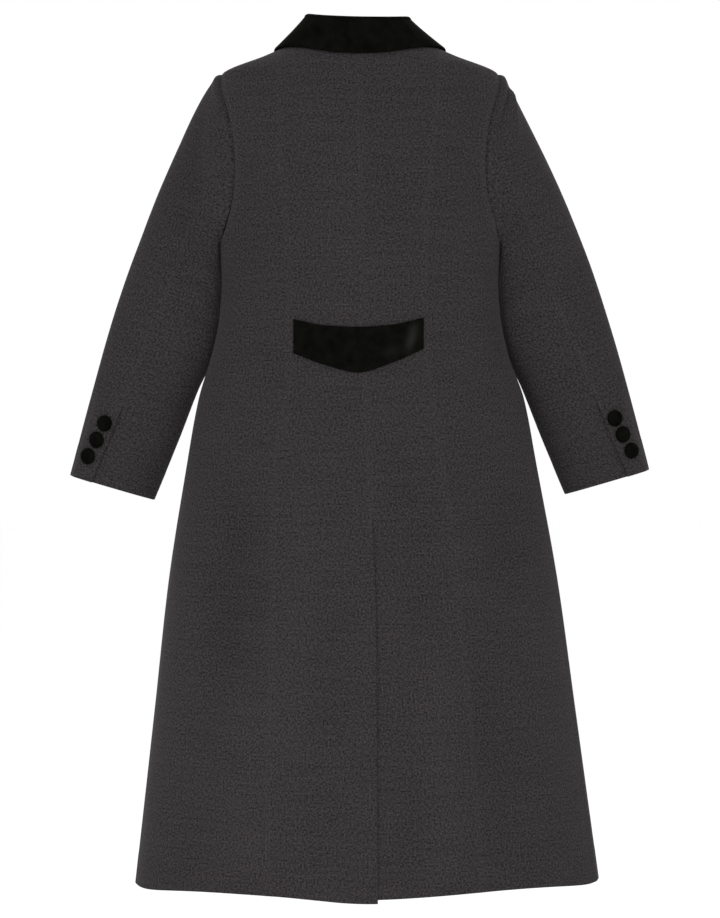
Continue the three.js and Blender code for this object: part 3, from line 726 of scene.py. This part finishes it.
def makeStudio():
    studio = {"eyeZ": -0.588, "distance": 4.5, "lens": 126.05, "floorZ": -1.45, "floorHalf": 40.0}
    view = bpy.data.cameras.new("camera")
    view.lens = studio["lens"]
    view.sensor_width = 36
    view.clip_end = 200
    camera = addObject("camera", view)
    camera.location = (0, -studio["distance"], studio["eyeZ"])
    camera.rotation_euler = (quarter, 0, 0)
    bpy.context.scene.camera = camera
    half = studio["floorHalf"] * 1000
    corners = np.array([(-half, -half, 0), (half, -half, 0), (half, half, 0), (-half, half, 0)], float)
    corners[:, 2] = studio["floorZ"] * 1000
    paper, _, _ = startMaterial("whitePaper", Base_Color=linear("#ffffff"), Roughness=0.9)
    floor = meshOf("floor", corners, np.array([[0, 1, 2, 3]]), paper)
    world = bpy.data.worlds.new("studio")
    world.use_nodes = True
    background = world.node_tree.nodes["Background"]
    background.inputs["Color"].default_value = (1, 1, 1, 1)
    background.inputs["Strength"].default_value = 1.0
    bpy.context.scene.world = world
    bpy.context.scene.view_settings.view_transform = "Standard"
    aimed("keyLight", (-2.8, -2.8, 2.0), (0, 0, -0.5), 40, 1.5)
    aimed("fillLight", (3.2, -2.4, 0.8), (0, 0, -0.6), 26, 1.5)
    aimed("frontLight", (0, -4.6, 0.4), (0, 0, -0.7), 58, 1.2)
    bounce = aimed("bounceLight", (-0.25, -1.1, -1.38), (0, 0, -0.95), 7, 0.9)
    bounce.visible_camera = False
    print("studio ready")


makeStudio()


# Panels of the body
def neckTop(side, centre, past=None):
    shoulderEnd, neckEnd = (0.25, 1.0) if past is None else (0.2, 0.8)

    def top(share):
        share = np.asarray(share, float)
        onShoulder = share <= shoulderEnd
        along = (share - shoulderEnd) / (neckEnd - shoulderEnd)
        angle = side * mix(quarter, centre, clamp01(along))
        if past is not None:
            angle = np.where(share > neckEnd, mix(side * math.pi, past, (share - neckEnd) / 0.2), angle)
        z = np.where(onShoulder, body["princessTopZ"] * (1 - share / shoulderEnd), neckEdgeZ(angle))
        return np.where(onShoulder, side * quarter, angle), z

    return top


def shoulderTop(side):
    def top(share):
        share = np.asarray(share, float)
        z = mix(body["princessTopZ"], body["shoulderZ"], share)
        return np.full(share.shape, side * quarter), z

    return top


def makeBack(name, side):
    seamX = (lambda z: seam["backRight"](z)) if side > 0 else (lambda z: -seam["backLeft"](z))
    underLap = backVent["lap"] if side > 0 else 0

    def centreEdge(z):
        lapped = underLap * ease((backVent["top"] - z) / 26)
        return backAngle(seam["centre"](z) - lapped, z)

    back = {
        "width": 125,
        "corner": 0.25,
        "top": neckTop(side, 0.0),
        "first": lambda z: backAngle(seamX(z), z),
        "last": centreEdge,
        "angleOf": backAngle,
        "freeLast": lambda z: ease((backVent["top"] + 6 - z) / 12),
    }
    if side < 0:
        back["lift"], back["drop"] = ventLift, ventDrop
    sideBack = {
        "width": 130,
        "top": shoulderTop(side),
        "first": lambda z: backAngle(seamX(z), z),
        "last": lambda z: sideAngle(side, z, True),
        "armhole": True,
    }
    makePanel(f"back{name}", f"back_{name.lower()}", back, wool)
    makePanel(f"sideBack{name}", f"side_back_{name.lower()}", sideBack, wool)


def makeFront(name, side):
    seamAngle = lambda z: frontAngle(side, side * seam["front"](z), z)
    edgeAngle = lambda z: frontAngle(side, -side * frontLap["past"], z)
    front = {
        "width": 130,
        "corner": 0.2,
        "top": neckTop(side, math.pi, edgeAngle(-float(body["neckFront"]))),
        "first": seamAngle,
        "last": edgeAngle,
        "angleOf": lambda x, z: frontAngle(side, x, z),
        "freeLast": lambda z: np.ones_like(z),
    }
    if side > 0:
        front["lift"] = lambda x, z: frontLift(x)
    sideFront = {
        "width": 130,
        "top": shoulderTop(side),
        "first": seamAngle,
        "last": lambda z: sideAngle(side, z, False),
        "armhole": True,
    }
    makePanel(f"front{name}", f"front_{name.lower()}", front, wool)
    makePanel(f"sideFront{name}", f"side_front_{name.lower()}", sideFront, wool)


for sideName, side in (("Right", 1), ("Left", -1)):
    makeBack(sideName, side)
    makeFront(sideName, side)
print("body panels ready")


# Sleeves, in two parts each. The turn is 0 along the outer edge, positive over the back and negative
# over the front, and a half turn along the inner edge.
sleeveSettings = {
    "clear": 3,  # sleeve to side of the body
    "softness": 1.5,
    "clearFullAt": 0.1,
    "ease": 0.13,  # share of the sleeve over which the armhole turns into an oval
    "foot": 0.3,
    "length": 600,
    "radius": 52,  # mean, for the creases
    "slack": 0.35,
    "stillTop": 26,
    "axis": (0.32, 0.085, -0.944),  # for the pattern of the cloth: the sleeve's middle line,
    "middle": (241, 22, -303),  # a point on it, how flat the sleeve is at its elbow and cuff,
    "flatness": (1.2, 1.8),  # and millimetres a radian
    "girth": 62,
    "rightFrom": 0.35,  # the lower part of the right sleeve hangs nearer to the body and higher
    "rightInward": 1,
    "rightUp": 8,
    "rowStep": 4.5,
    "columnStep": 4.2,
}
# the sleeve head stands up a little beside the armhole seam, and the sleeve sinks into that seam
sleeveHead = {"lift": 1.5, "at": 7, "width": 6, "low": 0.7, "high": 0.15, "sinkWidth": 2.4, "seamFade": 14}
cuffVent = {"start": 0.85, "fade": 0.05, "lap": 0.41, "lift": 3.8, "fadeFrom": 0.9, "fadeTo": 0.5}
# share of the sleeve, its outer edge (x, z), its inner edge (x, z), half its depth, how far forward
sleeveSections = [
    (0, 193, -50, 197, -291, 63, 4),
    (0.03, 202, -54, 199, -293, 62, 5),
    (0.07, 210, -66, 195, -297, 60, 8),
    (0.13, 223, -88, 191, -306, 58, 13),
    (0.26, 255, -150, 188, -330, 54, 19),
    (0.4, 293, -237, 188, -368, 50, 22),
    (0.55, 327, -325, 196, -424, 47, 25),
    (0.7, 355, -412, 227, -490, 44, 30),
    (0.85, 382, -508, 256, -563, 39, 37),
    (1, 410, -611, 291, -646, 33, 48),
]
sleeveSeams = [(0, 1.571), (0.3, 1.48), (0.6, 1.38), (0.85, 1.28), (1, 1.12)]
sleeve = curvesOf(sleeveSections, "outerX", "outerZ", "innerX", "innerZ", "depth", "middleY")
sleeveSeam = curvesOf(sleeveSeams, "back")["back"]


def sleeveSection(along, turn):
    outer, inner = (1 + np.cos(turn)) / 2, (1 - np.cos(turn)) / 2
    return np.stack([
        outer * sleeve["outerX"](along) + inner * sleeve["innerX"](along),
        sleeve["middleY"](along) - np.sin(turn) * sleeve["depth"](along),
        outer * sleeve["outerZ"](along) + inner * sleeve["innerZ"](along),
    ], axis=-1)


def armholePoint(turn):
    z = mix(body["shoulderZ"], body["armpitZ"], (1 - np.cos(turn)) / 2)
    return bodyPoint(armholeAngle(z, np.sin(turn) >= 0), z)


def bodySideX(y, z):  # sideways place of the body's side at a depth, or nothing beyond its depth
    depth = np.where(y < 0, section["back"](z), section["front"](z))
    share, power = np.abs(y) / depth, section["round"](z)
    half = section["halfWidth"](z) * (1 - np.minimum(share, 1) ** power) ** (1 / power)
    return np.where(share < 1, half + np.abs(section["swing"](z)), np.nan)


def sleevePoint(along, turn):
    along, turn = np.broadcast_arrays(np.asarray(along, float), np.asarray(turn, float))
    fade = 1 - ease(along / sleeveSettings["ease"])
    point = sleeveSection(along, turn)
    point = point + (armholePoint(turn) - sleeveSection(np.zeros_like(along), turn)) * fade[..., None]
    share = ease(along / sleeveSettings["clearFullAt"])
    limit = bodySideX(point[..., 1], point[..., 2]) + sleeveSettings["clear"] * share
    past = point[..., 0] - limit
    clear = limit + (past + np.hypot(past, 2 * sleeveSettings["softness"] * share)) / 2
    point[..., 0] = np.where(np.isnan(limit) | (along <= 0), point[..., 0], clear)
    return point


def sleeveNormal(along, turn):
    along, turn = np.broadcast_arrays(np.asarray(along, float), np.asarray(turn, float))
    near, far = np.maximum(0, along - 0.01), np.minimum(1, along + 0.01)
    across = sleevePoint(along, turn + 0.02) - sleevePoint(along, turn - 0.02)
    normal = unit(np.cross(across, sleevePoint(far, turn) - sleevePoint(near, turn)))
    # at the armhole the wall is mitred with the body's, but not under the arm, where it doubles back
    foot = armholePoint(turn)
    bodySide = bodyNormal(armholeAngle(foot[..., 2], np.sin(turn) >= 0), foot[..., 2])
    share = ease(2 * np.sum(normal * bodySide, axis=-1) - 1) * (1 - ease(along / 0.02))
    return unit(mix(normal, bodySide, share[..., None]))


def hangOf(side, along):
    share = ease((along - sleeveSettings["rightFrom"]) / (1 - sleeveSettings["rightFrom"])) * (side > 0)
    inward, up = sleeveSettings["rightInward"] * share, sleeveSettings["rightUp"] * share
    return np.stack([-inward, 0 * share, up], axis=-1)


def cuffLift(along, turn):
    height = ease((along - cuffVent["start"] + cuffVent["fade"]) / cuffVent["fade"])
    return cuffVent["lift"] * height * fadeIn(sleeveSeam(along) - turn, cuffVent)


def ringTurn(along, column):  # columns 0 to 5 run from the outer edge to the back seam, and on to 20
    back = sleeveSeam(along)
    onTop = np.where(column < 0, column / 10 * math.pi, column / 5 * back)
    under = np.where(column > 10, column / 10 * math.pi, mix(back, math.pi, (column - 5) / 5))
    return np.where(column <= 5, onTop, under)


def sleeveRows():
    count = round((sleeveSettings["length"] - 20) / sleeveSettings["rowStep"])
    start = edgeSteps / sleeveSettings["length"]
    return np.concatenate([start, np.linspace(start[-1], 1 - start[-1], count)[1:-1], 1 - start[::-1]])


def tubeCut(base):  # flat place of each point of a sleeve, round its axis and along it
    axis = unit(np.array(sleeveSettings["axis"], float))
    outward = unit(np.cross((0, 1, 0), axis))
    backward = np.cross(axis, outward)
    offset = base - sleeveSettings["middle"]
    down = offset @ axis
    flatness = mix(*sleeveSettings["flatness"], clamp01(down / 340))
    turn = np.arctan2(offset @ backward * flatness, -(offset @ outward))
    return np.unwrap(turn, axis=1) * sleeveSettings["girth"], -down


def makeSleevePart(name, side, columns, replaced, isTop):
    shares = sharesOf(190 if isTop else 150, sleeveSettings["columnStep"])
    along = sleeveRows()[:, None] * np.ones((1, len(shares)))
    column = mix(columns[0], columns[1], shares)[None, :] * np.ones_like(along)
    turn = ringTurn(along, column)
    if not isTop:
        lapped = ease((along - cuffVent["start"]) / 0.015) * clamp01(6 - column)
        turn = turn - cuffVent["lap"] * lapped
    base, normal = sleevePoint(along, turn), sleeveNormal(along, turn)
    lift = cuffLift(along, turn) if isTop else np.zeros_like(along)
    first, last, top, bottom = edgeDistances(base)
    wrapped = np.where(turn > math.pi, turn - 2 * math.pi, turn)
    flat = np.stack([wrapped * sleeveSettings["radius"], along * sleeveSettings["length"]], axis=-1)
    folds = creaseRelief(flat, sleeveCreases["right" if side > 0 else "left"])
    folds = folds + slackRelief(flat + 300 * side, sleeveSettings["slack"])
    folds = folds * ease(top / sleeveSettings["stillTop"]) * ease(bottom / 40 + 0.25)
    outward = ease(0.5 + np.cos(turn))
    head = outward * np.exp(-(((top - sleeveHead["at"]) / sleeveHead["width"]) ** 2))
    sink = mix(sleeveHead["low"], sleeveHead["high"], ease(outward * 2 - 1))
    head = sleeveHead["lift"] * head - sink * np.exp(-((top / sleeveHead["sinkWidth"]) ** 2))
    half = cloth["wall"] / 2
    vented = ease((along - cuffVent["start"] + 0.012) / 0.012)
    freeFirst, freeLast = (0, vented) if isTop else (vented, 0)
    seams = seamProfile(first) * (1 - freeFirst) + seamProfile(last) * (1 - freeLast)
    seams = seams * ease(top / sleeveHead["seamFade"])
    rounding = np.maximum(roundEdge(bottom, half), roundEdge(first, half) * freeFirst)
    rounding = np.maximum(rounding, roundEdge(last, half) * freeLast)
    turnUp = hemTurnUp(bottom)
    foot = sleeveSettings["foot"] * (1 - ease(along / 0.01))
    middle = sleeveSection(0.0, quarter)
    middle[1] = sleeve["middleY"](0.0)
    base = base + unit(middle - base) * foot[..., None]
    base[..., 0] += foot
    base = base + hangOf(side, along)
    outer = base + normal * (lift + folds + head + seams + turnUp - rounding)[..., None]
    inner = base + normal * (lift + folds - cloth["wall"] + rounding)[..., None]
    for face in (outer, inner):
        face[..., 0] *= side
    cut = shifted(*tubeCut(base))
    # Painted light and shade: painted highlights along the seams and on raised folds, painted shade in the
    # troughs and along the armhole seam at the sleeve's top
    paintedLight = folds / paintedLightSizes["fold"] + seamHighlight(first) * (1 - freeFirst) + seamHighlight(last) * (1 - freeLast)
    paintedLight = paintedLight * ease(top / sleeveHead["seamFade"]) - paintedLightSizes["seam"] * np.exp(-((top / paintedLightSizes["seamWidth"]) ** 2))
    return finishPiece(makeShell(name, outer, inner, cut, wool, paintedLight), "wool", replaced)


for sideName, side in (("Right", 1), ("Left", -1)):
    lower = sideName.lower()
    makeSleevePart(f"topSleeve{sideName}", side, (-6, 5), f"top_sleeve_{lower}", True)
    makeSleevePart(f"underSleeve{sideName}", side, (5, 14), f"under_sleeve_{lower}", False)
print("sleeves ready")

# The collar: turn round the neck, turn and height at which its outer edge lies on the coat, in degrees
# and mm, height of the stand and how far it leans in
collar = {
    "cloth": 3,
    "roll": 3.4,
    "clearBack": 1.3,
    "clearFront": 2.4,
    "turn": 30,
    "swayLeft": 3,  # its roll lies a little to the left and stands higher there
    "tilt": 2,
    "crown": 1.7,  # the fall curves out over the back, and in at the sides
    "hollow": 1.4,
    "rows": 131,
}
collarFoot = {"inward": 1.2, "up": 0.4, "front": 0.8, "overLap": 0.5}
collarStations = [
    (0, 0, -30, 27, 4),
    (15, 12.3, -28.5, 27, 4),
    (30, 25.4, -24.3, 27, 5.5),
    (45, 41.6, -19.5, 27, 7.5),
    (60, 58, -17.3, 27, 9),
    (75, 72.2, -17.2, 27, 9),
    (90, 90, -17.5, 27, 9),
    (105, 112, -22, 26, 8),
    (120, 128, -34, 24, 6),
    (135, 140, -54, 22, 4),
    (150, 149.5, -82, 20, 3),
    (165, 158.5, -117, 17, 2),
    (179, 165.5, -147, 14, 1),
]
collarCurve = curvesOf(collarStations, "edge", "edgeZ", "stand", "lean")


def collarLift(angle, x):
    share = ease((np.abs(angle) - quarter) / math.radians(collar["turn"]))
    clear = mix(collar["clearBack"], collar["clearFront"], share)
    return clear + collar["cloth"] / 2 + share * frontLift(np.abs(x))


def clearOfCoat(points):
    x, y, z = points[..., 0], points[..., 1], np.minimum(points[..., 2], -2)
    depth = np.where(y < 0, section["back"](z), section["front"](z))
    angle = np.arctan2((x - section["swing"](z)) / section["halfWidth"](z), -y / depth)
    normal = bodyNormal(angle, z)
    height = np.sum((points - bodyPoint(angle, z)) * normal, axis=-1)
    short = np.maximum(0, collarLift(angle, x) - height) * (points[..., 2] < -2)
    return points + normal * short[..., None]


def makeCollar():
    neck = np.linspace(-179, 179, collar["rows"])
    turn, side = np.abs(neck), np.where(neck < 0, -1.0, 1.0)
    angle = np.radians(neck)
    zero = np.zeros_like(angle)
    outward = np.stack([np.sin(angle), -np.cos(angle), zero], axis=-1)
    upward = np.stack([zero, zero, zero + 1], axis=-1)
    foot = bodyPoint(angle, neckEdgeZ(angle))
    overFront = collarFoot["front"] + collarFoot["overLap"] * frontLift(np.abs(foot[:, 0]))
    height = collarFoot["up"] + ease((turn - 90) / collar["turn"]) * overFront
    foot = foot - outward * collarFoot["inward"] + upward * height[:, None]
    lean, stand = collarCurve["lean"](turn)[:, None], collarCurve["stand"](turn)[:, None]
    roll = foot + outward * (collar["roll"] - lean) + upward * stand
    roll = roll - upward * collar["tilt"] * np.sin(angle)[:, None]
    roll[:, 0] -= collar["swayLeft"]

    def rollPoint(bend):
        around = outward * -math.cos(bend) + upward * math.sin(bend)
        return roll + around * collar["roll"]

    edgeAngle = side * np.radians(collarCurve["edge"](turn))
    edgeZ = collarCurve["edgeZ"](turn)
    edgeX = bodyPoint(edgeAngle, edgeZ)[:, 0]
    fallEnd = bodyAt(edgeAngle, edgeZ, collarLift(edgeAngle, edgeX))
    rises = np.concatenate([[0, 0.02, 0.05], np.linspace(0.12, 0.96, 7)])
    lines = [mix(foot, rollPoint(0), t) for t in rises]
    lines += [rollPoint(t) for t in np.linspace(0, math.pi, 13)]
    fallTop = rollPoint(math.pi)
    falls = np.concatenate([np.linspace(0.06, 0.93, 17), [0.96, 0.98, 0.992, 1]])
    crown = mix(collar["crown"], -collar["hollow"], ease((turn - 25) / 50))[:, None]
    for t in falls:
        bulge = crown * math.sin(math.pi * t) ** 0.8 * (1 - 0.35 * t)
        lines.append(clearOfCoat(mix(fallTop, fallEnd, t) + outward * bulge))
    middle = np.stack(lines, axis=0)
    alongRow = np.gradient(middle, axis=1)
    alongColumn = np.gradient(middle, axis=0)
    normal = unit(np.cross(alongRow, alongColumn))
    first, last, top, bottom = edgeDistances(middle)
    half = collar["cloth"] / 2
    rounding = roundEdge(np.minimum(bottom, np.minimum(first, last)), half)
    thick = (half - rounding)[..., None]
    cut = np.stack([first, -top], axis=-1)
    piece = makeShell("velvetCollar", middle + normal * thick, middle - normal * thick, cut, velvet)
    return finishPiece(piece, "velvet", "collar")


# The half belt lies on the back waist: share across, upper and lower edge
belt = {"lift": 0.9, "cloth": 2.4, "left": -91, "right": 87, "puff": 1.1}
beltShape = [(0, -396, -443), (0.25, -405, -460), (0.5, -407, -470), (0.75, -404, -457), (1, -394, -437)]
beltEdge = curvesOf(beltShape, "top", "bottom")


def makeBelt():
    across = sharesOf(178, 2.4)
    down = sharesOf(55, 2.4)[:, None]
    z = mix(beltEdge["top"](across), beltEdge["bottom"](across), down)
    x = mix(belt["left"], belt["right"], across)[None, :] * np.ones_like(z)
    angle = backAngle(x, z)
    base, normal = bodyPoint(angle, z), bodyNormal(angle, z)
    first, last, top, bottom = edgeDistances(base)
    edge = np.minimum(np.minimum(first, last), np.minimum(top, bottom))
    half = belt["cloth"] / 2
    rounding = roundEdge(edge, half)
    puff = belt["puff"] * ease(edge / 9) + 0.5 * np.exp(-(((edge - 4) / 2.4) ** 2))
    dent = creaseRelief(np.stack([x, z], axis=-1), [
        ([(-60, -418), (-10, -434), (40, -430)], 9, -0.7),
        ([(48, -452), (72, -420), (84, -402)], 8, 0.9),
        ([(-80, -428), (-40, -448)], 7, 0.5),
        ([(10, -456), (52, -440)], 6, -0.5),
    ])
    outer = base + normal * (belt["lift"] + belt["cloth"] + puff + dent - rounding)[..., None]
    inner = base + normal * (belt["lift"] + rounding)[..., None]
    # a painted sheen on the velvet, mostly towards the belt's right end
    paintedSheen = creaseRelief(np.stack([x, z], axis=-1), [
        ([(64, -440), (70, -424), (74, -402)], 6, 0.24),
        ([(30, -446), (52, -440)], 7, 0.06),
    ])
    cut = np.stack([first, -top], axis=-1)
    piece = makeShell("velvetHalfBelt", outer, inner, cut, velvet, np.maximum(paintedSheen, 0))
    return finishPiece(piece, "velvet", "half_belt")


makeCollar()
makeBelt()
print("collar and half belt ready")

# Covered buttons: velvet gathered over a domed form, placed at heights and, on the cuffs, turns
buttons = {
    "gap": 0.3,
    "cuffRadius": 11.5,
    "cuffHeight": 6.5,
    "cuffPlaces": [(-538, 1.04), (-561, 0.96), (-584, 0.86)],
    "frontRadius": 14,
    "frontHeight": 7.5,
    "frontRows": [-122, -238, -354, -470, -586],
    "sides": 40,
    "gathers": 20,
}


def alongAtHeight(turn, z):  # where along the sleeve a turn reaches a height
    low, high = 0.0, 1.0
    for _ in range(30):
        middle = (low + high) / 2
        if sleevePoint(middle, turn)[2] > z:
            low = middle
        else:
            high = middle
    return low


# radius and height of a button's outline, from the middle of its back over its edge to its top
buttonProfile = [
    (0.001, 0.04), (0.5, 0.0), (0.86, 0.0), (0.965, 0.08), (1.0, 0.22), (0.995, 0.36), (0.965, 0.5),
    (0.9, 0.66), (0.8, 0.79), (0.66, 0.89), (0.48, 0.955), (0.26, 0.99), (0.001, 1.0),
]


def buttonForm():  # one button of radius 1 and height 1, standing on its back
    turns = np.linspace(0, 2 * math.pi, buttons["sides"], endpoint=False)
    rings = []
    for radius, height in buttonProfile:
        gather = 0.012 * np.sin(buttons["gathers"] * turns) * max(0.0, 1 - abs(height - 0.1) / 0.3)
        around = radius * (1 + gather)
        ring = [around * np.cos(turns), around * np.sin(turns), 0 * turns + height]
        rings.append(np.stack(ring, axis=-1))
    points = np.concatenate(rings)
    index = np.arange(len(points)).reshape(len(buttonProfile), -1)
    onward = np.roll(index, -1, axis=1)
    faces = np.stack([index[:-1], onward[:-1], onward[1:], index[1:]], axis=-1).reshape(-1, 4)
    return meshOf("buttonForm", points * 1000, faces, velvet)


def startTree(name, **sizes):  # a geometry node tree with named inputs for its sizes
    tree = bpy.data.node_groups.new(name, "GeometryNodeTree")
    tree.interface.new_socket("Geometry", in_out="INPUT", socket_type="NodeSocketGeometry")
    tree.interface.new_socket("Geometry", in_out="OUTPUT", socket_type="NodeSocketGeometry")
    for key, kind in sizes.items():
        tree.interface.new_socket(key, in_out="INPUT", socket_type=kind)
    facing = addNode(tree, "GeometryNodeInputNamedAttribute", {"data_type": "FLOAT_VECTOR"},
                     Name="facing")
    upright = addNode(tree, "FunctionNodeAlignRotationToVector", {"axis": "Z"},
                      Vector=facing.outputs["Attribute"])
    return tree, addNode(tree, "NodeGroupInput").outputs, upright.outputs["Rotation"]


def endTree(tree, points, instance, turned, sizes, material):  # puts a sized copy at each point
    size = addNode(tree, "ShaderNodeCombineXYZ", None, **dict(zip("XYZ", sizes)))
    placed = addNode(tree, "GeometryNodeInstanceOnPoints", None, Points=points, Instance=instance,
                     Rotation=turned, Scale=size.outputs["Vector"])
    real = addNode(tree, "GeometryNodeRealizeInstances", None, Geometry=placed.outputs["Instances"])
    covered = addNode(tree, "GeometryNodeSetMaterial", None, Geometry=real.outputs["Geometry"])
    covered.inputs["Material"].default_value = material
    addNode(tree, "NodeGroupOutput", None, Geometry=covered.outputs["Geometry"])
    return tree


def applied(holder, tree, name, **values):  # runs the tree on a holder and returns its mesh as a piece
    modifier = holder.modifiers.new("shape", "NODES")
    modifier.node_group = tree
    for item in tree.interface.items_tree:
        if item.in_out == "INPUT" and item.name in values:
            modifier[item.identifier] = values[item.name]
    evaluated = holder.evaluated_get(bpy.context.evaluated_depsgraph_get())
    mesh = bpy.data.meshes.new_from_object(evaluated)
    mesh.name = name
    holder.modifiers.remove(modifier)
    bpy.data.objects.remove(holder)
    return addObject(name, mesh)


def pointsWith(name, places, edges=(), **vectors):  # loose points in metres that carry vectors
    mesh = bpy.data.meshes.new(name)
    mesh.from_pydata([tuple(p) for p in places], edges, [])
    for key, values in vectors.items():
        layer = mesh.attributes.new(key, "FLOAT_VECTOR", "POINT")
        layer.data.foreach_set("vector", np.array(values, float).ravel())
    return addObject(name, mesh)


def buttonTree(form):
    tree, given, upright = startTree("sewOnButtons", Radius="NodeSocketFloat", Height="NodeSocketFloat")
    source = addNode(tree, "GeometryNodeObjectInfo")
    source.inputs["Object"].default_value = form
    sizes = given["Radius"], given["Radius"], given["Height"]
    return endTree(tree, given["Geometry"], source.outputs["Geometry"], upright, sizes, velvet)


def sewOn(tree, name, places, facings, kind, replaced):
    holder = pointsWith(name + "Places", places, facing=facings)
    radius, height = buttons[kind + "Radius"] * 0.001, buttons[kind + "Height"] * 0.001
    finishPiece(applied(holder, tree, name, Radius=radius, Height=height), "covered_button", *replaced)


def makeButtons():
    form = buttonForm()
    tree = buttonTree(form)
    places, facings, names = [], [], []
    for label, side in (("right", 1), ("left", -1)):
        for number, (z, turn) in enumerate(buttons["cuffPlaces"], 1):
            along = alongAtHeight(turn, z)
            normal = sleeveNormal(along, turn)
            place = sleevePoint(along, turn) + normal * (cuffLift(along, turn) + buttons["gap"])
            place = place + hangOf(side, along)
            places.append(place * (side, 1, 1) * 0.001)
            facings.append(normal * (side, 1, 1))
            names.append(f"sleeve_button_{label}_{number}")
    sewOn(tree, "cuffButtons", places, facings, "cuff", names)
    rows = np.array(buttons["frontRows"], float)
    angle = frontAngle(1, 0.0, rows)
    places = bodyAt(angle, rows, frontLift(0.0) + buttons["gap"] + 0 * rows) * 0.001
    names = [f"front_button_{i + 1}" for i in range(len(rows))]
    sewOn(tree, "frontButtons", places, bodyNormal(angle, rows), "front", names)
    bpy.data.objects.remove(form)


makeButtons()
print("buttons ready")

# Buttonholes of the right front: hand-worked stitches side by side round a slit, with a bar at its end
buttonhole = {"from": -3, "to": 29, "gape": 0.55, "stitch": 2.1, "thread": 0.55, "spacing": 0.72}


def stitchTree(thread):
    tree, given, upright = startTree("buttonholeStitches", Spacing="NodeSocketFloat",
                                     Length="NodeSocketFloat", Thread="NodeSocketFloat")
    curve = addNode(tree, "GeometryNodeMeshToCurve", None, Mesh=given["Geometry"])
    spaced = addNode(tree, "GeometryNodeResampleCurve", {"mode": "LENGTH"}, Curve=curve.outputs["Curve"],
                     Length=given["Spacing"])
    tangent = addNode(tree, "GeometryNodeInputTangent")
    along = addNode(tree, "FunctionNodeAlignRotationToVector", {"axis": "X", "pivot_axis": "Z"},
                    Rotation=upright, Vector=tangent.outputs["Tangent"])
    bead = addNode(tree, "GeometryNodeMeshUVSphere", None, Segments=8, Rings=5, Radius=0.5)
    sizes = given["Thread"], given["Length"], given["Thread"]
    return endTree(tree, spaced.outputs["Curve"], bead.outputs["Mesh"], along.outputs["Rotation"],
                   sizes, thread)


def silkThread():
    # Silk buttonhole twist: two plies, a low sheen along the stitch
    look = {"colour": "#1a191a", "shade": "#121112", "ply": 0.5}
    material, tree, shader = startMaterial("silkThread", Roughness=0.55, Specular_IOR_Level=0.35)
    place = addNode(tree, "ShaderNodeTexCoord").outputs["Object"]
    ply = addNode(tree, "ShaderNodeTexNoise", None, Vector=place, Scale=1000 / look["ply"], Detail=1.0)
    colour = addNode(tree, "ShaderNodeValToRGB", None, Fac=ply.outputs["Fac"])
    colour.color_ramp.elements[0].color = linear(look["shade"])
    colour.color_ramp.elements[1].color = linear(look["colour"])
    tree.links.new(colour.outputs["Color"], shader.inputs["Base Color"])
    return material


def makeButtonholes():
    places, facings, edges = [], [], []
    for row in buttons["frontRows"]:
        start, end = buttonhole["from"], buttonhole["to"]
        offset = buttonhole["gape"] / 2 + buttonhole["stitch"] / 2
        bend = np.linspace(-quarter, quarter, 9)
        x = np.concatenate([np.linspace(start, end, 40), end + offset * np.cos(bend[1:-1]) * 0.8,
                            np.linspace(end, start, 40)])
        rise = [np.full(40, -offset), offset * np.sin(bend[1:-1]), np.full(40, offset)]
        z = row + np.concatenate(rise)
        angle = frontAngle(1, x, z)
        points = bodyAt(angle, z, frontLift(x) + 0.12) * 0.001
        first = len(places)
        places += list(points)
        facings += list(bodyNormal(angle, z))
        edges += [(first + i, first + i + 1) for i in range(len(points) - 1)]
    holder = pointsWith("buttonholePaths", places, edges, facing=facings)
    piece = applied(holder, stitchTree(silkThread()), "buttonholeStitches",
                    Spacing=buttonhole["spacing"] * 0.001, Length=buttonhole["stitch"] * 0.001,
                    Thread=buttonhole["thread"] * 0.001)
    finishPiece(piece, "wool")


makeButtonholes()
print("buttonholes ready")

# The coat hangs from its neck and shoulders. A sleeve hangs from the armhole edges of its side panels.
hungFrom = {
    "back": ["velvetCollar"],
    "front": ["velvetCollar"],
    "side": ["topSleeve{0}", "back{0}", "front{0}"],
    "topSleeve": ["sideBack{0}", "sideFront{0}"],
    "underSleeve": ["topSleeve{0}", "sideBack{0}", "sideFront{0}"],
}


def declareSheets():
    for name, (across, down, area) in flatSizes.items():
        if name == "velvetCollar":
            held, on = "folded", ["backRight", "backLeft", "frontRight", "frontLeft"]
        elif name == "velvetHalfBelt":
            held, on = "laid", ["backRight", "backLeft"]
        else:
            sideName = "Right" if name.endswith("Right") else "Left"
            held = "hung"
            on = next(names for start, names in hungFrom.items() if name.startswith(start))
            on = [item.format(sideName) for item in on]


declareSheets()
